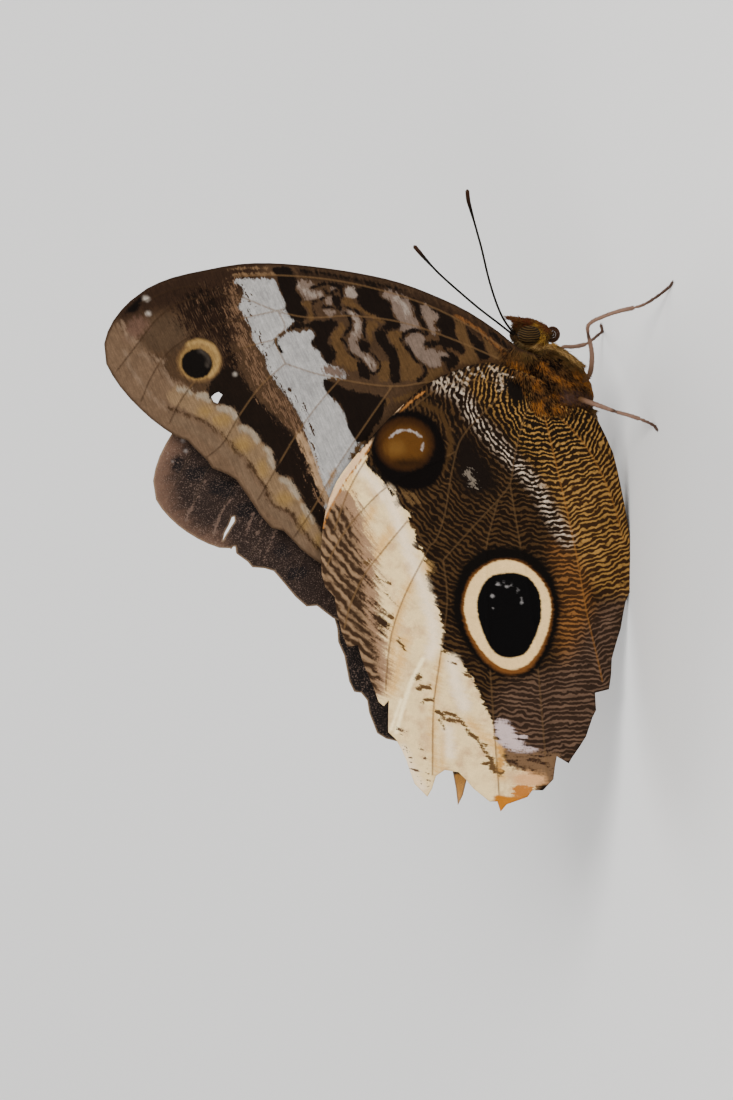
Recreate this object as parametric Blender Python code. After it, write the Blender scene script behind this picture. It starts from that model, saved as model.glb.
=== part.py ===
"""An owl butterfly at rest, life size, with its wings closed over its back.

The animal faces +X and its back is up. It stands on the floor, z = 0, on its middle and hind feet and
on the lowest stretch of the inner edge of both hindwings.

Outlines and veins are drawn in the side view from which the animal is described: a view from its right
(-Y), raised VIEW_ELEVATION above the floor, in which +X points up and the floor lies at the right. A
place in that view is a pair (across, down) in view pixels, and PIXEL turns them into metres.
"""

import math

import bmesh
import bpy
from mathutils import Vector
from mathutils.geometry import delaunay_2d_cdt

# Driving sizes, in metres
FOREWING_LENGTH = 0.080
MEMBRANE = 0.00052
VEIN_RAISE = 0.00018
VEIN_HALF_WIDTH = 0.00038
CUTTER_GAP = 0.00034

THORAX_HALF_WIDTH = 0.0052
THORAX_HALF_DEPTH = 0.00545
ABDOMEN_RADIUS = 0.0037
ABDOMEN_RINGS = 8
ABDOMEN_END = Vector((0.0006, 0, 0.0001))
HEAD_RADII = (0.0027, 0.0029, 0.0032)
EYE_RADII = (0.0016, 0.0014, 0.0021)
EYE_OFFSET = (0.0005, 0.0023, 0.0012)
ANTENNA_RADIUS = 0.00026
CLUB_RADIUS = 0.00042
PALP_RADIUS = 0.00068
PROBOSCIS_RADIUS = 0.00023
PROBOSCIS_COIL = 0.0014
PROBOSCIS_TURNS = 2.4
PROBOSCIS_START = 2.2
FORELEG_RADIUS = 0.0005
FEMUR_RADIUS = 0.00056
TIBIA_RADIUS = 0.00036
TARSUS_RADIUS = 0.00030
TARSUS_JOINTS = 5

# Shares of a length or of a radius
ABDOMEN_TAPER = 0.45
ABDOMEN_FADE = 0.35
ABDOMEN_TIP_START = 0.72
ABDOMEN_TIP_TAPER = 0.75
ABDOMEN_GROOVE = 0.04
CLUB_START = 0.78
CLUB_LENGTH = 0.16
PALP_TAPER = 0.5
PROBOSCIS_TIGHTENING = 0.8
FEMUR_TAPER = 0.35
TIBIA_WIDENING = 0.15
MIDLEG_KNEE, MIDLEG_ANKLE = 0.38, 0.70
HINDLEG_KNEE, HINDLEG_ANKLE = 0.52, 0.76

# Distance of each wing from the animal's middle plane, and how it grows towards the body and the tips
FOREWING_LEVEL = 0.00075
FOREWING_ROOT_LEVEL = 0.0027
ROOT_REACH = 0.013
TIP_SPREAD = 0.0011
WING_SPACING = 0.0013
INNER_EDGE_LEVEL = 0.0013
INNER_EDGE_REACH = 0.006
ABDOMEN_CLEARANCE = 0.00105
BULGE_RADII = 1.5
BULGE_MARGIN = 0.0012

# Steps of the wing meshes and of the round pieces, in metres
OUTLINE_STEP = 0.0026
VEIN_STEP = 0.0042
FILL_STEP = 0.0062
FILL_CLEARANCE = 0.0017
ABDOMEN_STEP = 0.0011
LEG_STEP = 0.0016
PALP_STEP = 0.0008
ANTENNA_STEP = 0.0022
PROBOSCIS_STEPS = 36

# The side view
VIEW_ELEVATION = math.radians(17.5)
VIEW_FLOOR = 629
VIEW_MIDDLE = 501
VIEW_ROOT = (543, 375)
VIEW_APEX = (106, 350)
VIEW_SPAN = math.hypot(VIEW_ROOT[0] - VIEW_APEX[0], VIEW_ROOT[1] - VIEW_APEX[1])
PIXEL = FOREWING_LENGTH * math.cos(VIEW_ELEVATION) / VIEW_SPAN

# Right forewing, from its root along the front edge to the apex, the tornus and back
FOREWING_FRONT = (
    (550, 366), (536, 354), (520, 348), (500, 332), (470, 312), (440, 297.5), (400, 282.5),
    (360, 273.5), (310, 266.5), (270, 263.8), (240, 265), (207, 271), (173, 279), (148, 290),
    (132, 302), (115, 322), (106, 345),
)
FOREWING_MARGIN = (
    (108, 365), (122, 388), (132, 400), (153, 420), (177, 437), (188.5, 441), (197, 450),
    (208, 461), (213, 468.5), (227, 474), (237, 480), (248, 496), (260, 514), (272, 528),
    (284, 531), (301, 549), (320, 563),
)
FOREWING_HIND_EDGE = ((334, 570), (372, 541), (420, 497), (470, 452), (510, 420), (548, 398), (560, 382))

FOREWING_VEINS = {
    "subcosta": ((508, 351), (470, 326), (430, 306), (380, 290), (330, 280), (280, 276), (235, 277)),
    "radius": ((498, 358), (450, 338), (400, 322), (350, 316), (310, 318), (278, 312), (235, 296),
               (185, 288), (140, 305)),
    "radial_5": ((235, 296), (185, 302), (160, 318), (137, 347), (118, 372)),
    "media_1": ((283, 310), (240, 320), (200, 333), (170, 352), (152, 378), (142, 402)),
    "media_2": ((275, 340), (240, 350), (205, 372), (182, 400), (170, 424)),
    "media_3": ((285, 364), (262, 385), (240, 415), (222, 445), (208, 457)),
    "cell_end": ((278, 312), (285, 328), (275, 340), (285, 364)),
    "cubital_stem": ((500, 372), (460, 380), (427, 382), (400, 386), (370, 384.5), (320, 375), (285, 364)),
    "cubital_1": ((340, 379), (320, 402), (298, 432), (280, 462), (258, 500)),
    "cubital_2": ((392, 386), (365, 425), (335, 470), (312, 510), (294, 537)),
    "anal": ((500, 392), (455, 425), (410, 468), (370, 515), (335, 553)),
}

# The left forewing is the right one swung back: where its root, apex and tornus come to lie in the view
FOREWING_CORNERS = ((543, 375), (106, 350), (334, 570))
LEFT_FOREWING_CORNERS = ((531, 378), (154, 486), (362, 628))

# Right hindwing, from its root along the front edge to the scalloped outer edge and the inner edge
HINDWING_FRONT = (
    (560, 388), (543, 380), (525, 372), (505, 366), (490, 362), (465, 367), (440, 377), (422, 387),
    (408, 400), (380, 428), (359, 452), (337, 481.5), (326, 511), (321.5, 545), (322, 575),
    (325.5, 587), (335, 597),
)
HINDWING_SCALLOPS = (
    (336, 605.5), (342, 633), (348, 647), (358, 645), (363, 662), (374, 688), (379, 702), (384, 706),
    (389, 700), (388.5, 732), (396, 739), (407, 761), (415, 784), (427.5, 796.7), (432, 789),
    (436, 776), (445, 770), (459, 772.5), (474, 789), (490, 802), (497.7, 802), (501, 812),
    (507, 805), (528, 797.6), (533, 791), (543.6, 791), (554, 780), (557.5, 757), (569.5, 764),
    (573, 758), (587, 737), (593.4, 718), (597, 711), (596, 693.5), (610, 690), (613, 659),
    (622, 629), (625, 612),
)
HINDWING_INNER = ((627, 602), (632.5, 592), (632.8, 572), (632.5, 552), (629, 524), (622.4, 489), (614, 453),
                  (607, 437), (599, 421), (586, 410), (572, 404))

HINDWING_VEINS = {
    "humeral": ((505, 384), (470, 380), (440, 388), (410, 410), (375, 447), (350, 487), (334, 530)),
    "radial": ((500, 396), (462, 437), (452, 470), (443, 520), (430, 545), (407, 521)),
    "sector": ((455, 452), (392, 483), (357, 516), (335, 547), (327, 566)),
    "media_1": ((407, 521), (381, 552.5), (364, 575), (350, 605), (344, 628)),
    "media_2": ((430, 545), (402, 601), (390, 640), (385, 690)),
    "media_3": ((443, 560), (447, 600), (440, 657), (433.5, 704), (432, 775)),
    "cell_end": ((443, 560), (470, 530), (498, 500)),
    "cubital_stem": ((530, 401), (522, 425), (514, 460), (510, 484), (498, 500)),
    "cubital_1": ((498, 500), (486, 551), (488, 629), (492, 699), (499, 795)),
    "cubital_2": ((510, 484), (520, 543), (530, 601), (537, 657), (547, 775)),
    "anal_2": ((544, 412), (558, 470), (576, 550), (587, 612), (598, 659), (603, 682)),
    "anal_3": ((552, 410), (574, 431), (592, 455), (611, 495), (624, 540)),
}

# Left hindwing, whose outer edge shows behind the right one
LEFT_HINDWING_OUTLINE = (
    (545, 388), (528, 380), (510, 372), (490, 366), (470, 365), (450, 369), (428, 382), (405, 401),
    (380, 428), (357, 460), (338, 495), (328, 530), (325, 570), (329, 600), (337, 628), (338, 642),
    (344, 655.5), (349, 681.5), (354, 692), (361, 693), (367, 700.5), (369, 713), (377, 733.5),
    (386, 739), (398, 742), (408, 756), (418, 774), (428, 768), (442, 764), (452, 768), (456, 789),
    (458, 806), (463, 796), (468, 776), (484, 768), (500, 778), (514, 770), (530, 768), (541, 752),
    (552, 752), (561, 732), (572, 722), (577, 700), (588, 684), (592, 660), (603, 640), (610, 617),
    (618, 604), (626.6, 592), (626.9, 572), (626.6, 552), (621, 520), (612, 485), (601, 450),
    (590, 430), (578, 417), (566, 409), (554, 401),
)
HINDWING_CORNERS = ((552, 398), (501, 812), (384, 706))
LEFT_HINDWING_CORNERS = ((538, 398), (470, 790), (383, 698))

# Body in the view
THORAX_AXIS = ((538, 347), (582, 424))
ABDOMEN_AXIS = ((577, 414), (584, 440), (590, 470), (595, 505), (600, 548))
HEAD_CENTRE = (532, 337)
PROBOSCIS_CENTRE = (553, 333)
PALP = ((552, 336, 0.0011), (546, 328, 0.0012), (534, 321.5, 0.0012), (523, 319.5, 0.0011), (510, 317, 0.001))
RIGHT_ANTENNA = (
    (522, 338, 0.0008), (513, 331, 0.0010), (503, 317, 0.0015), (495, 298, 0.0025), (488, 275, 0.0038),
    (482, 250, 0.0055), (475, 225, 0.0074), (468, 200, 0.0092), (467, 190, 0.0098),
)
LEFT_ANTENNA = (
    (521, 340, 0.0008), (511, 332, 0.0010), (497, 321, 0.0016), (480, 308, 0.0026), (460, 291, 0.0042),
    (440, 273, 0.0060), (425, 257, 0.0076), (414, 244, 0.0088),
)

# Legs: places in the view with the distance from the middle plane, from the thorax to the claws
RIGHT_FORELEG = ((549, 356, 0.0028), (544, 348, 0.0042), (553, 345, 0.0050), (563, 351, 0.0056),
                 (574, 359, 0.0060), (583, 366, 0.0059))
RIGHT_MIDLEG = ((580, 384, 0.0025), (590, 374, 0.0062), (592, 352, 0.0095), (588, 326, 0.0122),
                (600, 318, 0.0138), (620, 311, 0.0160), (641, 306, 0.0182), (658, 296, 0.0216),
                (668, 288, 0.0236), (674, 283, 0.0252))
LEFT_MIDLEG = ((571, 382, 0.0025), (569, 374, 0.0062), (563, 356, 0.0084), (564, 346, 0.0092),
               (574, 345, 0.0100), (588, 342, 0.0112), (599, 334, 0.0126), (605.5, 328, 0.0134),
               (604.5, 322, 0.0142))
RIGHT_HINDLEG = ((574, 396, 0.0020), (587, 401, 0.0064), (604, 407, 0.0086), (618, 412, 0.0100),
                 (630, 415.5, 0.0118), (644, 420.5, 0.0138), (653, 425, 0.0152), (659, 430, 0.0168))
LEFT_HINDLEG = ((570, 398, 0.0020), (566, 402, 0.0064), (572, 414, 0.0092), (582, 427, 0.0106),
                (593, 439, 0.0105), (604, 450, 0.0098), (612, 459, 0.0088), (617, 467, 0.0078))

SKIN_COLOURS = {
    "thorax": (0.23, 0.12, 0.05), "abdomen": (0.14, 0.09, 0.06), "head": (0.10, 0.07, 0.05),
    "eye": (0.045, 0.022, 0.016), "palp": (0.20, 0.14, 0.09), "proboscis": (0.03, 0.02, 0.015),
    "antenna": (0.02, 0.015, 0.012), "forewing": (0.22, 0.17, 0.12), "hindwing": (0.12, 0.09, 0.06),
    "foreleg": (0.52, 0.44, 0.26), "midleg": (0.28, 0.20, 0.12), "hindleg": (0.32, 0.23, 0.14),
}
ROUGH = 0.75
EYE_ROUGH = 0.25


def clear_scene():
    for old in list(bpy.data.objects):
        bpy.data.objects.remove(old, do_unlink=True)


def material_for(name):
    """The material of one node, coloured as its kind of sub-part."""
    kind = name.split("_")[0]
    material = bpy.data.materials.new(name)
    material.use_nodes = True
    shader = material.node_tree.nodes["Principled BSDF"]
    shader.inputs["Base Color"].default_value = (*SKIN_COLOURS[kind], 1)
    shader.inputs["Roughness"].default_value = EYE_ROUGH if kind == "eye" else ROUGH
    shader.inputs["Metallic"].default_value = 0
    return material


def in_view(across, down, away=0.0):
    """The point at a place in the view that lies `away` metres from the middle plane, left positive."""
    x = (VIEW_MIDDLE - down) * PIXEL
    screen = (VIEW_FLOOR - across) * PIXEL
    z = (screen - away * math.sin(VIEW_ELEVATION)) / math.cos(VIEW_ELEVATION)
    return Vector((x, away, z))


def flat(place):
    """A place in the view as (x, height) on the middle plane, in metres."""
    point = in_view(*place)
    return Vector((point.x, point.z))


def hermite(before, start, end, after, t):
    """A point at t from start to end on a smooth curve that also bends towards its two neighbours."""
    length = (end - start).length
    to_start = (start - before).length + length
    to_end = (after - end).length + length
    tangent_0 = (end - before) * (length / to_start) if to_start else end - start
    tangent_1 = (after - start) * (length / to_end) if to_end else end - start
    return (
        start * (2 * t**3 - 3 * t**2 + 1)
        + tangent_0 * (t**3 - 2 * t**2 + t)
        + end * (3 * t**2 - 2 * t**3)
        + tangent_1 * (t**3 - t**2)
    )


def smooth_line(points, step, closed=False):
    """The given points, with more on a smooth curve between those that lie further apart than `step`."""
    count = len(points)
    line = []
    for i in range(count if closed else count - 1):
        before = points[(i - 1) % count] if closed or i else points[0]
        start, end = points[i], points[(i + 1) % count]
        after = points[(i + 2) % count] if closed or i + 2 < count else end
        pieces = max(1, round((end - start).length / step))
        line += [hermite(before, start, end, after, k / pieces) for k in range(pieces)]
    return line if closed else line + [points[-1].copy()]


def distance_to_segment(point, start, end):
    along = end - start
    share = (point - start).dot(along) / max(along.length_squared, 1e-18)
    return (point - start - along * min(1.0, max(0.0, share))).length


def distance_to_lines(point, lines):
    return min(distance_to_segment(point, a, b) for line in lines for a, b in zip(line, line[1:]))


def inside(point, outline):
    """Whether a flat point lies inside a closed outline."""
    found = False
    for a, b in zip(outline, outline[1:] + outline[:1]):
        if (a.y > point.y) != (b.y > point.y):
            if point.x < a.x + (point.y - a.y) * (b.x - a.x) / (b.y - a.y):
                found = not found
    return found


def side_line(line, offset):
    """The line beside a vein's centre line, `offset` away from it."""
    beside = []
    for i, point in enumerate(line):
        along = line[min(i + 1, len(line) - 1)] - line[max(i - 1, 0)]
        beside.append(point + Vector((-along.y, along.x)).normalized() * offset)
    return beside


def carried(places, corners, new_corners):
    """Places of one wing moved as its three corners move to the other wing's corners."""
    root, apex, tornus = (Vector(corner) for corner in corners)
    new_root, new_apex, new_tornus = (Vector(corner) for corner in new_corners)
    first, second = apex - root, tornus - root
    area = first.cross(second)
    moved = []
    for place in places:
        away = Vector(place) - root
        share_1, share_2 = away.cross(second) / area, first.cross(away) / area
        point = new_root + (new_apex - new_root) * share_1 + (new_tornus - new_root) * share_2
        moved.append((point.x, point.y))
    return moved


def abdomen_at(x):
    """(height of the abdomen's axis, its radius) at one x, fading out past both ends."""
    axis = [in_view(*place) for place in ABDOMEN_AXIS]
    first, last = axis[0], axis[-1]
    share = (first.x - x) / (first.x - last.x)
    inner = min(1.0, max(0.0, share))
    height = first.z + (last.z - first.z) * inner
    past = max(0.0, -share, share - 1.0)
    radius = ABDOMEN_RADIUS * (1 - ABDOMEN_TAPER * inner**2) * math.exp(-((past / ABDOMEN_FADE) ** 2))
    return height, radius


def forewing_level(x, height):
    """How far a forewing lies from the middle plane."""
    root = flat(VIEW_ROOT)
    away = math.hypot(x - root.x, height - root.y)
    near_root = (FOREWING_ROOT_LEVEL - FOREWING_LEVEL) * math.exp(-((away / ROOT_REACH) ** 2))
    return FOREWING_LEVEL + near_root + TIP_SPREAD * (away / FOREWING_LENGTH) ** 2


def hindwing_level(x, height):
    """How far a hindwing lies from the middle plane: outside the forewing, and round the abdomen."""
    outer = forewing_level(x, height) + WING_SPACING
    low = math.exp(-((max(height, 0.0) / INNER_EDGE_REACH) ** 2))
    level = outer + (INNER_EDGE_LEVEL - outer) * low
    middle, radius = abdomen_at(x)
    bulge = max(0.0, radius + ABDOMEN_CLEARANCE - level)
    width = BULGE_RADII * radius + BULGE_MARGIN
    return level + bulge * math.exp(-(((height - middle) / width) ** 2))


def membrane_point(flat_point, level, side):
    """The point of a wing's middle surface that shows at a place in the view."""
    away = side * level(flat_point.x, flat_point.y)
    return Vector((flat_point.x, away, flat_point.y - away * math.tan(VIEW_ELEVATION)))


def membrane_normal(flat_point, level, side):
    small = 0.0002
    across = membrane_point(flat_point + Vector((small, 0)), level, side)
    up = membrane_point(flat_point + Vector((0, small)), level, side)
    here = membrane_point(flat_point, level, side)
    return (across - here).cross(up - here).normalized()


def filling(outline, lines):
    """Evenly spread points inside an outline, clear of its edge and of the given lines."""
    rows, points = 0, []
    row_step = FILL_STEP * 0.87
    low_x, high_x = min(p.x for p in outline), max(p.x for p in outline)
    low_y, high_y = min(p.y for p in outline), max(p.y for p in outline)
    y = low_y + FILL_STEP / 2
    while y < high_y:
        x = low_x + FILL_STEP / 2 * (1 + rows % 2)
        while x < high_x:
            point = Vector((x, y))
            if inside(point, outline) and distance_to_lines(point, lines) > FILL_CLEARANCE:
                points.append(point)
            x += FILL_STEP
        y += row_step
        rows += 1
    return points


def new_object(name, mesh):
    made = bpy.data.objects.new(name, mesh)
    bpy.context.scene.collection.objects.link(made)
    return made


def object_from(name, points, faces):
    """An object of the given points and faces, with its faces turned outwards."""
    mesh = bpy.data.meshes.new(name)
    mesh.from_pydata(points, [], faces)
    shape = bmesh.new()
    shape.from_mesh(mesh)
    bmesh.ops.recalc_face_normals(shape, faces=shape.faces)
    shape.to_mesh(mesh)
    shape.free()
    return new_object(name, mesh)


def wing(name, outline_places, vein_places, level, side):
    """A thin curved wing whose veins are ridges raised in both of its faces."""
    outline = smooth_line([flat(place) for place in outline_places], OUTLINE_STEP, closed=True)
    veins = [smooth_line([flat(place) for place in vein], VEIN_STEP) for vein in vein_places]
    sides = [side_line(vein, offset) for vein in veins for offset in (-VEIN_HALF_WIDTH, VEIN_HALF_WIDTH)]
    points = list(outline)
    edges = []
    for line in veins + sides:
        edges += [(len(points) + i, len(points) + i + 1) for i in range(len(line) - 1)]
        points += line
    points += filling(outline, veins + sides + [outline + outline[:1]])
    millimetre = 1000
    keep_inside, merge_distance = 1, 0.02
    loop = list(range(len(outline)))
    flat_points, _, triangles, *_ = delaunay_2d_cdt(
        [point * millimetre for point in points], edges, [loop], keep_inside, merge_distance
    )
    flat_points = [point / millimetre for point in flat_points]
    triangles = [
        triangle for triangle in triangles
        if inside(sum((flat_points[i] for i in triangle), Vector((0, 0))) / 3, outline)
    ]
    used = sorted({i for triangle in triangles for i in triangle})
    order = {old: new for new, old in enumerate(used)}
    upper, lower = [], []
    for i in used:
        here = flat_points[i]
        ridge = VEIN_RAISE * max(0.0, 1 - distance_to_lines(here, veins) / VEIN_HALF_WIDTH)
        offset = membrane_normal(here, level, side) * (MEMBRANE / 2 + ridge)
        middle = membrane_point(here, level, side)
        upper.append(middle + offset)
        lower.append(middle - offset)
    count = len(used)
    faces = []
    half_edges = set()
    for triangle in triangles:
        a, b, c = (order[i] for i in triangle)
        faces += [(a, b, c), (c + count, b + count, a + count)]
        half_edges |= {(a, b), (b, c), (c, a)}
    rim = [(a, b) for a, b in half_edges if (b, a) not in half_edges]
    faces += [(b, a, a + count, b + count) for a, b in rim]
    return object_from(name, [on_floor(point) for point in upper + lower], faces)


def on_floor(point):
    """A point that would lie below the floor, moved up to it, which makes a small flat there."""
    return Vector((point.x, point.y, max(point.z, 0.0)))


def lofted(name, centres, widths, depths, sides, first_side=Vector((0, 1, 0))):
    """A closed round body along a line of centres, pointed at both ends, resting on the floor at most."""
    points = [centres[0]]
    beside = first_side
    for i in range(1, len(centres) - 1):
        along = (centres[i + 1] - centres[i - 1]).normalized()
        beside = (beside - along * beside.dot(along)).normalized()
        up = along.cross(beside)
        for k in range(sides):
            angle = 2 * math.pi * (k + 0.5) / sides
            offset = beside * (math.cos(angle) * widths[i]) + up * (math.sin(angle) * depths[i])
            points.append(on_floor(centres[i] + offset))
    points.append(centres[-1])
    last = len(points) - 1
    faces = []
    for k in range(sides):
        after = (k + 1) % sides
        faces.append((0, 1 + after, 1 + k))
        faces.append((last, last - sides + k, last - sides + after))
        for ring in range(len(centres) - 3):
            here, there = 1 + ring * sides, 1 + (ring + 1) * sides
            faces.append((here + k, here + after, there + after, there + k))
    return object_from(name, points, faces)


def egg(name, first, last, half_width, half_depth, sides=16, rings=10, grow=0.0, blunt=2.3):
    """A blunt egg between two end points, grown all round by `grow`."""
    along = (last - first).normalized()
    first, last = first - along * grow, last + along * grow
    middle = (first + last) / 2
    centres, widths, depths = [], [], []
    for k in range(rings + 1):
        share = -math.cos(math.pi * k / rings)
        size = max(0.0, 1 - abs(share) ** blunt) ** 0.5
        centres.append(middle + (last - middle) * share)
        widths.append((half_width + grow) * size)
        depths.append((half_depth + grow) * size)
    return lofted(name, centres, widths, depths, sides)


def smoothed_path(places, side, step):
    """A smooth line through view places that carry their distance from the middle plane."""
    points = [in_view(across, down, side * away) for across, down, away in places]
    return smooth_line(points, step)


def mirrored(path):
    return [Vector((point.x, -point.y, point.z)) for point in path]


def limb(name, path, radius_at, sides=6):
    """A closed tube along a path, with the radius as a function of the share of its length."""
    start_reach, end_reach, end_lift = 0.5, 0.7, 0.2
    lengths = [0.0]
    for a, b in zip(path, path[1:]):
        lengths.append(lengths[-1] + (b - a).length)
    radii = [radius_at(length / lengths[-1]) for length in lengths]
    start = path[0] - (path[1] - path[0]).normalized() * radii[0] * start_reach
    end = path[-1] + (path[-1] - path[-2]).normalized() * radii[-1] * end_reach
    centres = [start, *path, on_floor(end + Vector((0, 0, radii[-1] * end_lift)))]
    radii = [0.0, *radii, 0.0]
    side = Vector((0.3, 1, 0.2)).normalized()
    return lofted(name, centres, radii, radii, sides, side)


def leg_radius(knee, ankle):
    """Radius along a leg: a stout femur, a slim tibia and a tarsus of short joints."""

    def radius_at(share):
        if share < knee:
            return FEMUR_RADIUS * (1.0 - FEMUR_TAPER * (share / knee) ** 3)
        if share < ankle:
            return TIBIA_RADIUS * (1.0 + TIBIA_WIDENING * (share - knee) / (ankle - knee))
        turns = TARSUS_JOINTS * (share - ankle) / (1 - ankle)
        return TARSUS_RADIUS * (1.0 + 0.1 * math.cos(2 * math.pi * turns))

    return radius_at


def thorax(name="thorax", grow=0.0):
    first, last = (in_view(*place) for place in THORAX_AXIS)
    return egg(name, first, last, THORAX_HALF_WIDTH, THORAX_HALF_DEPTH, sides=18, rings=12, grow=grow)


def abdomen():
    """The abdomen, its rings set off by shallow grooves."""
    path = smooth_line([in_view(*place) for place in ABDOMEN_AXIS], ABDOMEN_STEP)
    front_reach = 0.0004
    widths = []
    for i in range(len(path)):
        share = i / (len(path) - 1)
        tip = max(0.0, (share - ABDOMEN_TIP_START) / (1 - ABDOMEN_TIP_START)) ** 3
        outline = (1 - ABDOMEN_TAPER * share**2) * (1 - ABDOMEN_TIP_TAPER * tip)
        groove = ABDOMEN_GROOVE * abs(math.cos(math.pi * ABDOMEN_RINGS * share))
        widths.append(ABDOMEN_RADIUS * outline * (1 - groove))
    front = path[0] + (path[0] - path[1]).normalized() * front_reach
    centres = [front, *path, path[-1] - ABDOMEN_END]
    widths = [0.0, *widths, 0.0]
    return lofted("abdomen", centres, widths, widths, sides=14)


def round_shape(name, centre, radii, grow):
    """A ball with three radii, along X, Y and Z, grown all round."""
    length = Vector((radii[0], 0, 0))
    first, last = centre - length, centre + length
    return egg(name, first, last, radii[1], radii[2], sides=14, rings=9, grow=grow, blunt=2.0)


def head_shape(name, grow=0.0):
    return round_shape(name, in_view(*HEAD_CENTRE), HEAD_RADII, grow)


def eye_shape(name, side, grow=0.0):
    offset = Vector((EYE_OFFSET[0], side * EYE_OFFSET[1], EYE_OFFSET[2]))
    return round_shape(name, in_view(*HEAD_CENTRE) + offset, EYE_RADII, grow)


def proboscis():
    """The sucking tube, coiled like a watch spring below the head."""
    centre = in_view(*PROBOSCIS_CENTRE)
    path = []
    for k in range(PROBOSCIS_STEPS + 1):
        share = k / PROBOSCIS_STEPS
        angle = 2 * math.pi * PROBOSCIS_TURNS * share + PROBOSCIS_START
        radius = PROBOSCIS_COIL * (1 - PROBOSCIS_TIGHTENING * share)
        path.append(centre + Vector((math.cos(angle) * radius, 0, math.sin(angle) * radius)))
    return limb("proboscis", path, lambda share: PROBOSCIS_RADIUS)


def antenna(name, places, side):
    path = smoothed_path(places, side, ANTENNA_STEP)

    def radius_at(share):
        club = min(1.0, max(0.0, (share - CLUB_START) / CLUB_LENGTH))
        return ANTENNA_RADIUS + (CLUB_RADIUS - ANTENNA_RADIUS) * club

    return limb(name, path, radius_at)


def palp(name, path):
    return limb(name, path, lambda share: PALP_RADIUS * (1 - PALP_TAPER * share**2), sides=8)


def cut(target, cutters):
    """Takes the cutters out of the target and keeps the largest closed surface of what is left."""
    for cutter in cutters:
        cutter.hide_render = True
        cutter.display_type = "WIRE"
        modifier = target.modifiers.new("cut " + cutter.name, "BOOLEAN")
        modifier.operation = "DIFFERENCE"
        modifier.object = cutter
    graph = bpy.context.evaluated_depsgraph_get()
    mesh = bpy.data.meshes.new_from_object(target.evaluated_get(graph))
    target.modifiers.clear()
    target.data = mesh
    keep_largest(mesh)


def keep_largest(mesh):
    shape = bmesh.new()
    shape.from_mesh(mesh)
    bmesh.ops.dissolve_degenerate(shape, dist=1e-6, edges=shape.edges)
    left = set(shape.verts)
    pieces = []
    while left:
        start = left.pop()
        piece, queue = {start}, [start]
        while queue:
            for edge in queue.pop().link_edges:
                for vertex in edge.verts:
                    if vertex in left:
                        left.remove(vertex)
                        piece.add(vertex)
                        queue.append(vertex)
        pieces.append(piece)
    pieces.sort(key=len)
    scraps = [vertex for piece in pieces[:-1] for vertex in piece]
    bmesh.ops.delete(shape, geom=scraps, context="VERTS")
    bmesh.ops.triangulate(shape, faces=shape.faces)
    shape.to_mesh(mesh)
    shape.free()


def make_wings():
    forewing_outline = FOREWING_FRONT + FOREWING_MARGIN + FOREWING_HIND_EDGE
    forewing_veins = list(FOREWING_VEINS.values())
    corners = (FOREWING_CORNERS, LEFT_FOREWING_CORNERS)
    hindwing_outline = HINDWING_FRONT + HINDWING_SCALLOPS + HINDWING_INNER
    hindwing_veins = list(HINDWING_VEINS.values())
    hind_corners = (HINDWING_CORNERS, LEFT_HINDWING_CORNERS)
    return [
        wing("forewing_right", forewing_outline, forewing_veins, forewing_level, -1),
        wing(
            "forewing_left", carried(forewing_outline, *corners),
            [carried(vein, *corners) for vein in forewing_veins], forewing_level, 1,
        ),
        wing("hindwing_right", hindwing_outline, hindwing_veins, hindwing_level, -1),
        wing(
            "hindwing_left", LEFT_HINDWING_OUTLINE,
            [carried(vein, *hind_corners) for vein in hindwing_veins], hindwing_level, 1,
        ),
    ]


def make_legs():
    """The small folded forelegs, and the middle and hind legs."""
    middle = leg_radius(MIDLEG_KNEE, MIDLEG_ANKLE)
    hind = leg_radius(HINDLEG_KNEE, HINDLEG_ANKLE)
    foreleg = smoothed_path(RIGHT_FORELEG, -1, LEG_STEP)
    return [
        limb("foreleg_right", foreleg, lambda share: FORELEG_RADIUS),
        limb("foreleg_left", mirrored(foreleg), lambda share: FORELEG_RADIUS),
        limb("midleg_right", smoothed_path(RIGHT_MIDLEG, -1, LEG_STEP), middle),
        limb("midleg_left", smoothed_path(LEFT_MIDLEG, 1, LEG_STEP), middle),
        limb("hindleg_right", smoothed_path(RIGHT_HINDLEG, -1, LEG_STEP), hind),
        limb("hindleg_left", smoothed_path(LEFT_HINDLEG, 1, LEG_STEP), hind),
    ]


def centre_on_origin(nodes):
    """Moves everything so that the middle of the whole box stands over the origin."""
    points = [vertex.co for node in nodes for vertex in node.data.vertices]
    middle_x = (min(p.x for p in points) + max(p.x for p in points)) / 2
    middle_y = (min(p.y for p in points) + max(p.y for p in points)) / 2
    for node in nodes:
        for vertex in node.data.vertices:
            vertex.co -= Vector((middle_x, middle_y, 0))


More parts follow.
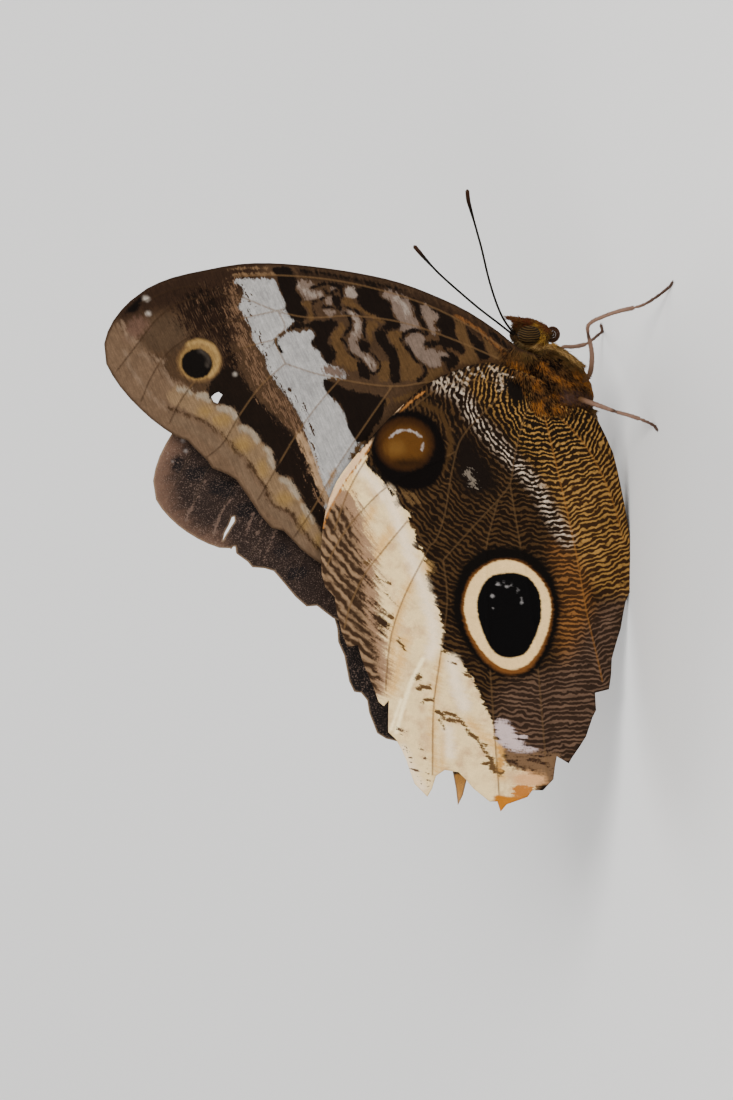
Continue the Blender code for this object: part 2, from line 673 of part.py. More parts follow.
def main():
    clear_scene()
    body = thorax()
    belly = abdomen()
    head = head_shape("head")
    eyes = [eye_shape("eye_right", -1), eye_shape("eye_left", 1)]
    palp_path = smoothed_path(PALP, -1, PALP_STEP)
    palps = [palp("palp_right", palp_path), palp("palp_left", mirrored(palp_path))]
    antennae = [antenna("antenna_right", RIGHT_ANTENNA, -1), antenna("antenna_left", LEFT_ANTENNA, 1)]
    tongue = proboscis()
    wings = make_wings()
    legs = make_legs()

    round_thorax = thorax("round thorax", CUTTER_GAP)
    round_head = head_shape("round head", CUTTER_GAP)
    round_eyes = [eye_shape("round right eye", -1, CUTTER_GAP), eye_shape("round left eye", 1, CUTTER_GAP)]
    cut(head, [round_thorax, *round_eyes])
    for piece in [belly, *wings, *legs]:
        cut(piece, [round_thorax])
    for piece in [*palps, *antennae, tongue]:
        cut(piece, [round_head, round_thorax, *round_eyes])
    for helper in [round_thorax, round_head, *round_eyes]:
        bpy.data.objects.remove(helper, do_unlink=True)

    nodes = [body, belly, head, *eyes, *palps, *antennae, tongue, *wings, *legs]
    centre_on_origin(nodes)
    sharp_angle = math.radians(35)
    for node in nodes:
        node.data.materials.clear()
        node.data.materials.append(material_for(node.name))
        node.data.shade_smooth()
        node.data.set_sharp_from_angle(angle=sharp_angle)


main()
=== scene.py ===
"""The looks of an owl butterfly at rest, laid out as an add-on for Blender's 3D view.

The solids of the butterfly are the frame: +X is forward, +Y the animal's left and +Z up. Wing markings are
drawn in one side view, from the animal's right and raised VIEW_ELEVATION above the floor, in which +X
points up the picture and the floor lies at its right. A place in it is (across, down) in view pixels.
"""

import math

import bmesh
import bpy
import numpy as np
from bpy.props import FloatProperty, FloatVectorProperty, IntProperty, PointerProperty
from mathutils import Matrix, Vector
from mathutils.bvhtree import BVHTree
from mathutils.geometry import delaunay_2d_cdt


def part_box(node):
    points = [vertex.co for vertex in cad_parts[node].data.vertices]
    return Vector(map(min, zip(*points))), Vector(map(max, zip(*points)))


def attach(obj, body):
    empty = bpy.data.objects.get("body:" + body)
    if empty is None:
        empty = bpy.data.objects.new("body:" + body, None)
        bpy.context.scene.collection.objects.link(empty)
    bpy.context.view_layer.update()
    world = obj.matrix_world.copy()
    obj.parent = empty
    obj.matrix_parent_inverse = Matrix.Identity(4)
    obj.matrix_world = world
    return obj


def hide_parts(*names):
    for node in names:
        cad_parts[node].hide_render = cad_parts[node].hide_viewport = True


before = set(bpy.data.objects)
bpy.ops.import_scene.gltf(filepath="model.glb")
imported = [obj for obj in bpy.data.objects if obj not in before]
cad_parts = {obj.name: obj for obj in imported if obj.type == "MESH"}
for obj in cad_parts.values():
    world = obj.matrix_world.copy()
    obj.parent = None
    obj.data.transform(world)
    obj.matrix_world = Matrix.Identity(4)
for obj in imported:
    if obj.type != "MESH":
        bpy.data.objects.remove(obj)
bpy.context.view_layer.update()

bl_info = {
    "name": "Owl butterfly at rest",
    "version": (1, 0, 0),
    "blender": (4, 5, 0),
    "location": "3D View > Sidebar > Butterfly",
    "description": "Finishes the solids of a life-size owl butterfly with patterned wings, hair and eyes",
    "category": "Object",
}

# The picture and the side view
PICTURE_WIDTH = 733
PICTURE_HEIGHT = 1100
SENSOR = 36.0
FOREWING_LENGTH = 0.080
VIEW_ELEVATION = math.radians(17.5)
VIEW_FLOOR = 629
VIEW_MIDDLE = 501
VIEW_ROOT = (543, 375)
VIEW_APEX = (106, 350)
VIEW_SPAN = math.hypot(VIEW_ROOT[0] - VIEW_APEX[0], VIEW_ROOT[1] - VIEW_APEX[1])
PIXEL = FOREWING_LENGTH * math.cos(VIEW_ELEVATION) / VIEW_SPAN

# Parts of the head and body, in the view and in metres
THORAX_AXIS = ((538, 347), (582, 424))
HEAD_MIDDLE = (526, 336)
CHEEK = (516.5, 324.5)
CHEEK_RADIUS = 0.0008
PROBOSCIS_CENTRE = (553, 333)
PROBOSCIS_RADIUS = 0.00022
PROBOSCIS_COIL = 0.0014
PROBOSCIS_TURNS = 3.4
PROBOSCIS_START = 2.2
PROBOSCIS_TIGHTENING = 0.99

# How far each wing lies from the animal's middle plane, as in the solids
MEMBRANE = 0.00052
FOREWING_LEVEL = 0.00075
FOREWING_ROOT_LEVEL = 0.0027
ROOT_REACH = 0.013
TIP_SPREAD = 0.0011
WING_SPACING = 0.0013
INNER_EDGE_LEVEL = 0.0013
INNER_EDGE_REACH = 0.006
ABDOMEN_RADIUS = 0.0037
ABDOMEN_TAPER = 0.45
ABDOMEN_END = 0.35
ABDOMEN_CLEARANCE = 0.00105
ABDOMEN_FADE = 0.0012
ABDOMEN_AXIS = ((577, 414), (600, 548))

# Where the right wing's corners come to lie on the left wing, which is swung back
FOREWING_CORNERS = ((543, 375), (106, 350), (334, 570))
LEFT_FOREWING_CORNERS = ((531, 378), (154, 486), (362, 628))
HINDWING_CORNERS = ((552, 398), (501, 812), (384, 706))
LEFT_HINDWING_CORNERS = ((538, 398), (470, 790), (383, 698))

# Veins from root to edge, the inner edge's last. The hindwing's last ones bend the ripples
FOREWING_VEINS = (
    "508,351 470,326 430,306 380,290 330,280 280,276 235,277",
    "498,358 450,338 400,322 350,316 310,318 278,312 235,296 185,288 140,305",
    "235,296 185,302 160,318 137,347 118,372",
    "283,310 240,320 200,333 170,352 152,378 142,402",
    "275,340 240,350 205,372 182,400 170,424",
    "285,364 262,385 240,415 222,445 208,457",
    "278,312 285,328 275,340 285,364",
    "500,372 460,380 427,382 400,386 370,384.5 320,375 285,364",
    "340,379 320,402 298,432 280,462 258,500",
    "392,386 365,425 335,470 312,510 294,537",
    "500,392 455,425 410,468 370,515 335,553",
)
HINDWING_VEINS = (
    "505,384 470,380 440,388 410,410 375,447 350,487 334,530",
    "500,396 462,437 452,470 443,520 430,545 407,521",
    "455,452 392,483 357,516 335,547 327,566",
    "407,521 381,552.5 364,575 350,605 344,628",
    "430,545 402,601 390,640 385,690",
    "443,560 447,600 440,657 433.5,704 432,775",
    "443,560 470,530 498,500",
    "530,401 522,425 514,460 510,484 498,500",
    "498,500 486,551 488,629 492,699 499,795",
    "510,484 520,543 530,601 537,657 547,775",
    "544,412 558,470 576,550 587,612 598,659 603,682",
    "552,410 574,431 592,455 611,495 624,540",
)
PULLING_VEINS = 5
INNER_VEINS = 2
PULL_REACH = 0.0016
VEIN_WIDTH = 0.00019
VEIN_STEP = 6
SINK = 0.00010
SINK_REACH = 0.0016
THIN_EDGE = 0.0008
THIN_SHARE = 0.35
RIPPLE_ROOT = (0, 20)
RIPPLE_RADIUS = 0.035

# Feelers and legs, from the body to the tip: places with the distance from the middle plane
ANTENNAE = {
    "right": (
        "522,338,0.0008 513,331,0.0010 503,317,0.0015 495,298,0.0025 488,275,0.0038 482,250,0.0055 "
        "475,225,0.0074 468,200,0.0092 467,190,0.0098"
    ),
    "left": (
        "521,340,0.0008 511,332,0.0010 497,321,0.0016 480,308,0.0026 460,291,0.0042 440,273,0.0060 "
        "425,257,0.0076 414,244,0.0088"
    ),
}
MIDLEGS = {
    "right": (
        "580,384,0.0025 590,374,0.0062 592,352,0.0095 588,326,0.0122 600,318,0.0138 620,311,0.0160 "
        "641,306,0.0182 658,296,0.0216 668,288,0.0236 674,283,0.0252"
    ),
    "left": (
        "571,382,0.0025 569,374,0.0062 563,356,0.0084 564,346,0.0092 574,345,0.0100 588,342,0.0112 "
        "599,334,0.0126 605.5,328,0.0134 604.5,322,0.0142"
    ),
}
HINDLEGS = {
    "right": (
        "574,396,0.0020 587,401,0.0064 604,407,0.0086 618,412,0.0100 630,415.5,0.0118 644,420.5,0.0138 "
        "653,425,0.0152 659,430,0.0168"
    ),
    "left": (
        "570,398,0.0020 566,402,0.0064 572,414,0.0092 582,427,0.0106 593,439,0.0105 604,450,0.0098 "
        "612,459,0.0088 617,467,0.0078"
    ),
}

# Small tears, in the view: one through both forewings and two more in the left one
TEARS = {
    "forewing_right": ("215.2,394.4 219.2,392.5 223.2,395.2 220.8,399.2 218.4,404 214.4,402.4 212,397.6",),
    "forewing_left": (
        "232,517.5 234.4,516.6 234.8,521 230.4,528 226.6,534 223,540.6 224.6,533.3 229,525",
        "210.4,395 214,391 219.4,390.4 224.6,393 225.4,397 222.4,402 219.6,406 213.4,405 210.6,400",
        "222,555 226,552 230,551 233.3,546.7 235.5,546.7 236.5,555 238,563 228,574 216,564",
    ),
}

# Markings from the bottom layer up: name, what it is, its 8-bit colour, the softness and raggedness of its
# edge in view pixels, and its shapes, each with a smooth edge: an area inside some places, a stroke of a
# width along places, or a disc with a middle and half sizes
FOREWING_LAYERS = (
    ("apex_brown", "Dark brown of the forewing's front part", (36, 23, 14), 18, 6, """
        area 262,262 200,268 150,285 118,310 124,324 150,314 176,312 205,322 232,345 250,335 243,300"""),
    ("inner_dark", "Darker ground between the cell and the front edge", (34, 22, 13), 14, 6, """
        area 296,268 330,272 380,281 430,298 480,322 515,348 500,350 460,328 420,312 380,296 340,284
        300,278"""),
    ("fore_margin", "Tan of the forewing's outer margin", (86, 67, 50), 9, 6, """
        area 95,318 112,322 124,330 138,340 150,352 160,366 170,378 184,386 196,393 214,403 232,408
        244,422 260,437 275,456 290,478 303,502 316,526 326,552 330,620 220,560 150,460 95,420"""),
    ("smoky", "Smoky patch between the apex and the small eyespot", (62, 47, 33), 16, 6, """
        area 142,334 150,322 168,316 182,320 190,330 184,344 172,352 158,354 147,348"""),
    ("apex_red", "Reddish brown below the apex spots", (78, 57, 45), 10, 5, """
        area 126,330 132,321 142,318 149,324 144,334 134,342 127,340"""),
    ("scallop", "Grey-tan scallops of the margin", (88, 70, 53), 6, 5, """
        stroke 10 176,420 189,426 205,436 220,447 234,459 243,471 254,488 265,504 280,515 293,529
        303,544"""),
    ("margin_tan", "Pale zigzag inside the forewing's margin", (100, 81, 64), 7, 4, """
        stroke 3.4 123,325 125,331 130,338 137,343; stroke 3 143,356 154,360 164,362; stroke 3 164,372
        170,380 174,386; stroke 2.4 126,352 132,368 142,384 154,398 168,410"""),
    ("lunule", "Tan ribbon of lunules beside the black band", (104, 83, 60), 4, 3, """
        area 177,387 184,388 192,391 197,394 204,393 212,396 214,404 219,407 223,405 232,408 239,414
        240,420 238,426 243,424 252,428 260,437 262,443 268,446 274,452 275,462 278,470 280,476 290,478
        297,488 302,496 303,502 310,510 316,522 320,530 324,540 325,548 318,550 310,538 297,522 289,512
        272,503 268,492 258,477 251,468 246,460 236,450 226,442 216,430 207,422 194,415 180,408 170,402
        168,396"""),
    ("lunule_ochre", "Ochre of the outer half of each lunule", (114, 89, 52), 12, 3, """
        disc 206,412 7,5; disc 222,420 9,6; disc 243,445 9,7; disc 263,469 5,8; disc 285,499 9,6;
        disc 304,523 5,8; disc 318,541 3,6"""),
    ("lunule_cap", "Cream inner edge of each lunule", (124, 110, 92), 5, 3, """
        stroke 4 180,390 187,391 192,394; stroke 5.5 199,396 205,396 210,400; stroke 6.5 221,409 227,409
        233,413 236,417; stroke 6 241,428 247,429 254,434 258,440; stroke 5.5 266,449 270,452 271,459
        273,466; stroke 6.5 282,480 289,483 294,490 298,496; stroke 4.5 304,506 309,514 313,521"""),
    ("zigzag", "Dark line outside the lunules", (52, 36, 22), 4.5, 3.4, """
        stroke 2.6 168,408 182,413 195,418 205,422 212,427 220,433 226,439 233,446 240,454 247,459
        250,464 254,470 259,478 264,486 268,493 270,500 276,506 284,510 291,513 296,521 304,531 312,541
        320,550; disc 250,465 3,3.4; disc 268,495 3,3; disc 292,515 3.4,3"""),
    ("upper_band", "Dark brown between the small eyespot and the pale band", (26, 15, 8), 12, 14, """
        area 184,296 200,289 218,288 232,294 238,306 236,320 232,334 234,350 240,366 244,380 232,384
        214,380 216,360 220,350 214,344 200,340 186,330 178,312"""),
    ("streak_band", "Darkest streaks between the small eyespot and the pale band", (17, 9, 4), 3, 14, """
        stroke 2 206,292 216,306 224,324 228,344 234,364; stroke 1 222,290 230,306 236,326 240,348
        248,370; stroke 1 192,296 202,310 212,326"""),
    ("dark_band", "Black-brown band outside the pale one", (19, 11, 6), 3.4, 4, """
        area 228,366 238,372 246,382 252,391 258,399 264,405 270,411 277,417 283,424 290,431 297,440
        304,450 309,458 313,467 316,476 318,484 321,492 324,500 325,518 325,536 320,528 314,518 308,508
        302,498 297,488 290,478 280,475 276,468 274,456 270,447 262,442 258,434 250,427 240,422 238,414
        230,406 220,404 214,402 210,395 208,388 212,380 220,372"""),
    ("tan_edge", "Streaked tan beside the forewing's pale band", (90, 67, 48), 6, 20, """
        stroke 12 234,290 238,316 244,340 254,366 268,388 284,408 300,428 312,450 320,474 326,498"""),
    ("pale", "Greyish white of the forewing's band", (140, 137, 133), 2.2, 3.4, """
        area 236,282 250,280 266,280 276,281 279,290 284,300 286,305 290,316 295,320.5 292,324 288,328
        284,331 279,336 275,340 270,348 262,352 257,346 254,341 253,333 248,322 243,314 240,308 243,300
        243,290; area 262,352 270,347 276,342 280,338 285,334 290,332 297,331 301,333 306,331 311,330
        315,334 314,339 311,344 315,348 319,351 322,356 323,360 327,364 331,365 338,368 344,372 347,378
        338,379 328,378 325,384 327,394 335,401 343,411 348,425 355,437 368,450 350,490 328,512 325,495
        318,473 311,450 305,432 299,416 288,398 277,384 268,370 266,360"""),
    ("pale_shade", "Cooler grey inside the pale band", (128, 125, 122), 22, 8, """
        stroke 6 262,292 268,302; stroke 8 298,346 304,356; stroke 9 300,380 308,394; stroke 7 284,372
        294,384"""),
    ("band_streak", "Fine dark streaks over the pale band's outer side", (46, 31, 20), 1.8, 9, """
        stroke -2 243,286 248,304 254,322 260,342 268,362 279,384 292,404 303,424 312,444 320,468;
        stroke -3 252,292 256,308; stroke -1 290,390 304,410 314,434"""),
    ("pale_cream", "Creamy ends of the forewing's band", (136, 109, 81), 5, 4, """
        stroke 7 300,436 308,452 315,470 321,488 328,500; stroke 4 334,472 326,490"""),
    ("band_costa", "Tan lines where the pale band meets the front edge", (92, 70, 48), 2, 3, """
        stroke 1.8 230,270 250,269 268,269; stroke 2.6 234,276 255,274.6 275,274.6"""),
    ("pale_rose", "Pinkish lower end of the inner patch", (88, 72, 62), 4, 4, """
        area 322,366 334,367 343,371 346,377 334,377 324,373"""),
    ("cell_grey", "Greyish marks in the forewing's cell", (94, 79, 68), 3, 5, """
        area 297,282 305,281 316,285 311,289 322,293 325,296 321,299 306,299 303,296 299,292 296,288;
        area 328,288 332,286 336,288 333,291 329,290; area 326,298 330,296 333,299 332,304 327,304;
        area 325,311 330,309 335,311 333,316 327,316; area 343,309 349,309 354,314 360,317 362,321
        361,327 362,333 360,338 357,340 359,345 362,350 366,353 371,357 375,362 377,366 375,372 372,372
        369,366 365,363 363,359 358,357 352,354 350,349 348,344 349,338 352,333 353,328 353,322 351,317
        346,315; area 381,295 388,289 394,292 402,296 408,299 411,305 413,310 414,316 418,322 420,329
        413,330 404,333 400,333 400,327 398,321 394,316 392,309 391,303 386,299; area 420,303 427,306
        432,310 438,313 440,318 436,322 433,326 438,330 436,334 430,332 427,326 421,312; area 405,337
        410,334 417,332 423,335 424,341 424,346 428,349 434,349 440,352 447,352 451,357 444,357 439,359
        441,365 436,368 428,366 421,361 415,356 410,349 406,343"""),
    ("cell_pale", "Brightest marks in the forewing's cell", (120, 107, 96), 3.4, 5, """
        area 346,289 352,287 354,292 358,294 357,298 350,299 345,297 344,293; stroke 3 300,286 308,292
        318,296; stroke 3 396,298 404,306 408,318; stroke 3.4 352,312 357,322 356,332;
        stroke 2.6 366,358 372,366"""),
    ("cell_tan", "Olive-tan marks in the forewing's cell", (70, 50, 28), 2.6, 3.4, """
        area 300,304 311,303 312,310 314,318 310,321 308,316 308,310 303,307; area 341,302 345,297
        352,299 356,303 368,311 382,320 386,324 374,319 358,311 345,306; area 330,338 334,332 339,327
        340,320 345,325 344,332 342,338 344,346 348,354 354,358 358,364 358,370 354,373 349,370 347,372
        343,366 337,364 336,358 335,350 332,345; area 366,322 374,322 378,326 373,331 373,338 371,345
        368,340 366,333; area 378,364 390,362 389,380 379,379; area 387,334 392,331 400,331 403,335
        402,340 404,346 409,352 413,358 419,363 422,369 421,375 417,380 410,381 400,380 400,370 398,358
        396,350 391,343; area 427,368 434,369 441,367 443,371 442,375 436,378 430,382 425,384 423,380
        426,374; area 452,316 458,320 465,325 467,333 470,340 474,348 478,356 478,362 468,364 460,362
        458,356 464,354 466,350 462,343 457,338 455,330 455,322; area 484,338 490,343 496,349 501,355
        506,360 500,361 492,357 487,350; stroke 5 388,400 378,410 366,436 352,458; stroke 5 440,384
        416,393 396,400"""),
    ("black", "Black-brown marks of the forewing", (16, 9, 5), 2.4, 3, """
        area 272,269 277,276 277,284 280,290 284,299 286,305 283,308 288,315 293,319 296,321 300,323
        304,321 307,316 307,311 303,307 300,303 302,298 298,293 296,288 297,283 295,278 293,272 289,268;
        area 288,330 292,326 296,321 305,324 318,321 330,320 337,322 338,326 333,330 330,336 329,342
        332,347 335,352 335,358 333,363 329,364 326,361 323,357 322,353 318,350 313,347 311,343 314,339
        315,333 311,329 305,328 299,329; stroke 3.4 311,288 318,286 324,284 334,285 341,287;
        stroke 3.4 325,290 327,294 331,294 336,291; stroke 2.2 313,302 313,308 314,313 316,318;
        stroke 2 313,302 320,300 324,298; stroke 3.6 342,287 341,298; area 333,295 339,296 340,307
        334,306; stroke 2 324,307 333,308 340,309; stroke 2.6 342,307 350,309 356,311 361,315 364,320
        364,328 365,336 364,340; stroke 3 345,312 350,320 350,328 345,334 343,338 346,346 349,352
        354,356 359,359 362,365 361,372 364,377; area 359,341 367,340 370,346 368,352 361,351;
        area 358,362 366,364 370,374 368,380 361,378; stroke 2.2 370,352 374,356 377,360 380,364 380,368
        377,372 373,374 369,371; area 356,290 361,286 368,283 376,286 380,290 377,293 384,299 390,302
        392,310 394,316 400,323 399,329 392,330 385,330 378,328 384,325 386,322 380,318 372,314 364,310
        358,304 356,300 358,295; area 375,332 386,330 387,336 389,341 394,346 397,353 399,362 400,372
        400,382 391,382 390,374 390,364 388,357 383,350 378,344 374,338; stroke 5 413,300 417,306
        418,314 421,320 424,326 428,333; area 432,309 440,311 448,313 452,318 455,324 455,332 457,338
        462,344 465,350 464,354 459,353 452,349 446,347 440,346 432,347 424,345 425,341 433,341 440,339
        436,335 442,334 440,328 434,325 438,320 439,314; stroke 3.4 418,330 410,331 405,334 402,339
        404,344 408,349 412,354 414,359 420,363 424,367; stroke 3.4 424,367 426,372 423,377 418,381;
        stroke 2.2 418,330 424,334 427,336; area 440,345 452,352 458,358 457,366 447,370 444,362 441,357
        450,357; area 466,326 472,332 478,338 484,342 486,350 490,357 482,360 478,356 474,348 470,340;
        stroke 4 490,332 500,340 511,352; area 322,380 325,390 338,402 345,413 348,425 352,437 358,443
        365,442 372,432 383,413 385,398 375,395 350,390 335,383; stroke 3 275,340 278,346 281,352;
        stroke 1.8 300,271 330,275 360,281 390,287 405,291"""),
    ("costal_orange", "Orange-brown streak at the root of the front edge", (92, 58, 28), 3, 3, """
        stroke 2.6 455,315 480,330 500,348 515,362"""),
    ("eyespot_shade", "Dim side of the small eyespot's ring", (84, 62, 38), 4, 1.4, """
        disc 200,362.5 22.5,21"""),
    ("eyespot_band", "Tan ring of the forewing's eyespot", (114, 88, 50), 3, 1, """
        disc 198.6,363.2 18.4,17.8"""),
    ("eyespot_ring", "Yellowish gleam on the ring", (136, 108, 64), 5, 1, """
        stroke 4.6 189,345.6 200,342.4 211,346.5 217.4,356 217,367 211,376"""),
    ("eyespot_core", "Black core of the forewing's eyespot", (9, 6, 4), 2.6, 0.8, """
        disc 197.5,364.5 15.3,14.8"""),
    ("crescent", "Grey gleam in the forewing's eyespot", (44, 38, 32), 4.5, 1.6, """
        stroke 4 200,351 206,355 209,361 208,366"""),
    ("snow", "White spots near the forewing's apex", (150, 140, 128), 6, 1, """
        disc 147,300 3,2.2; disc 149.4,314.8 2,1.6; disc 235.5,374.7 1.2,1.1"""),
    ("apex_black", "Black streak before the forewing's apex", (9, 5, 3), 4, 1.6, """
        area 143,297 134,305 128,311 127,314 133,314 139,311 142,305"""),
)

# Markings of the upper sides, in the view of the left wing
UPPER_FORE_LAYERS = (
    ("upper_margin", "Reddish margin of the forewing's upper side", (92, 68, 54), 30, 10, """
        stroke 24 168,446 158,466 156,490 162,512 176,530 196,544 214,550; stroke 5 214,552 240,576
        270,596 300,616"""),
    ("upper_dark", "Dark patches of the forewing's upper side", (16, 11, 10), 7, 7, """
        disc 178,464 6,8; disc 196,474 10,9; disc 224,488 14,9; disc 250,510 14,9; disc 282,552 8,6;
        disc 296,572 9,6"""),
    ("upper_streak", "Pale scratches of the upper side", (84, 66, 56), 2, 5, """
        stroke 1.4 253,514 249,526 246,534; stroke 1.4 276,530 270,544 264,560; stroke 1.2 262,520
        256,536; stroke 1.2 285,530 296,534 306,546; stroke 1 206,480 196,500 186,520; stroke 1 232,498
        222,512 214,534"""),
    ("upper_snow", "White spots of the upper side", (120, 110, 104), 4, 1.2, """
        disc 183,441 1.8,1.5; disc 186,451 1.7,1.7; disc 173,462 0.8,0.7"""),
)
UPPER_HIND_LAYERS = (
    ("upper_tail", "Orange of the hindwing's tail end", (206, 144, 72), 4, 1.4, """
        area 450,778 470,776 467,790 459,810 454,796"""),
)

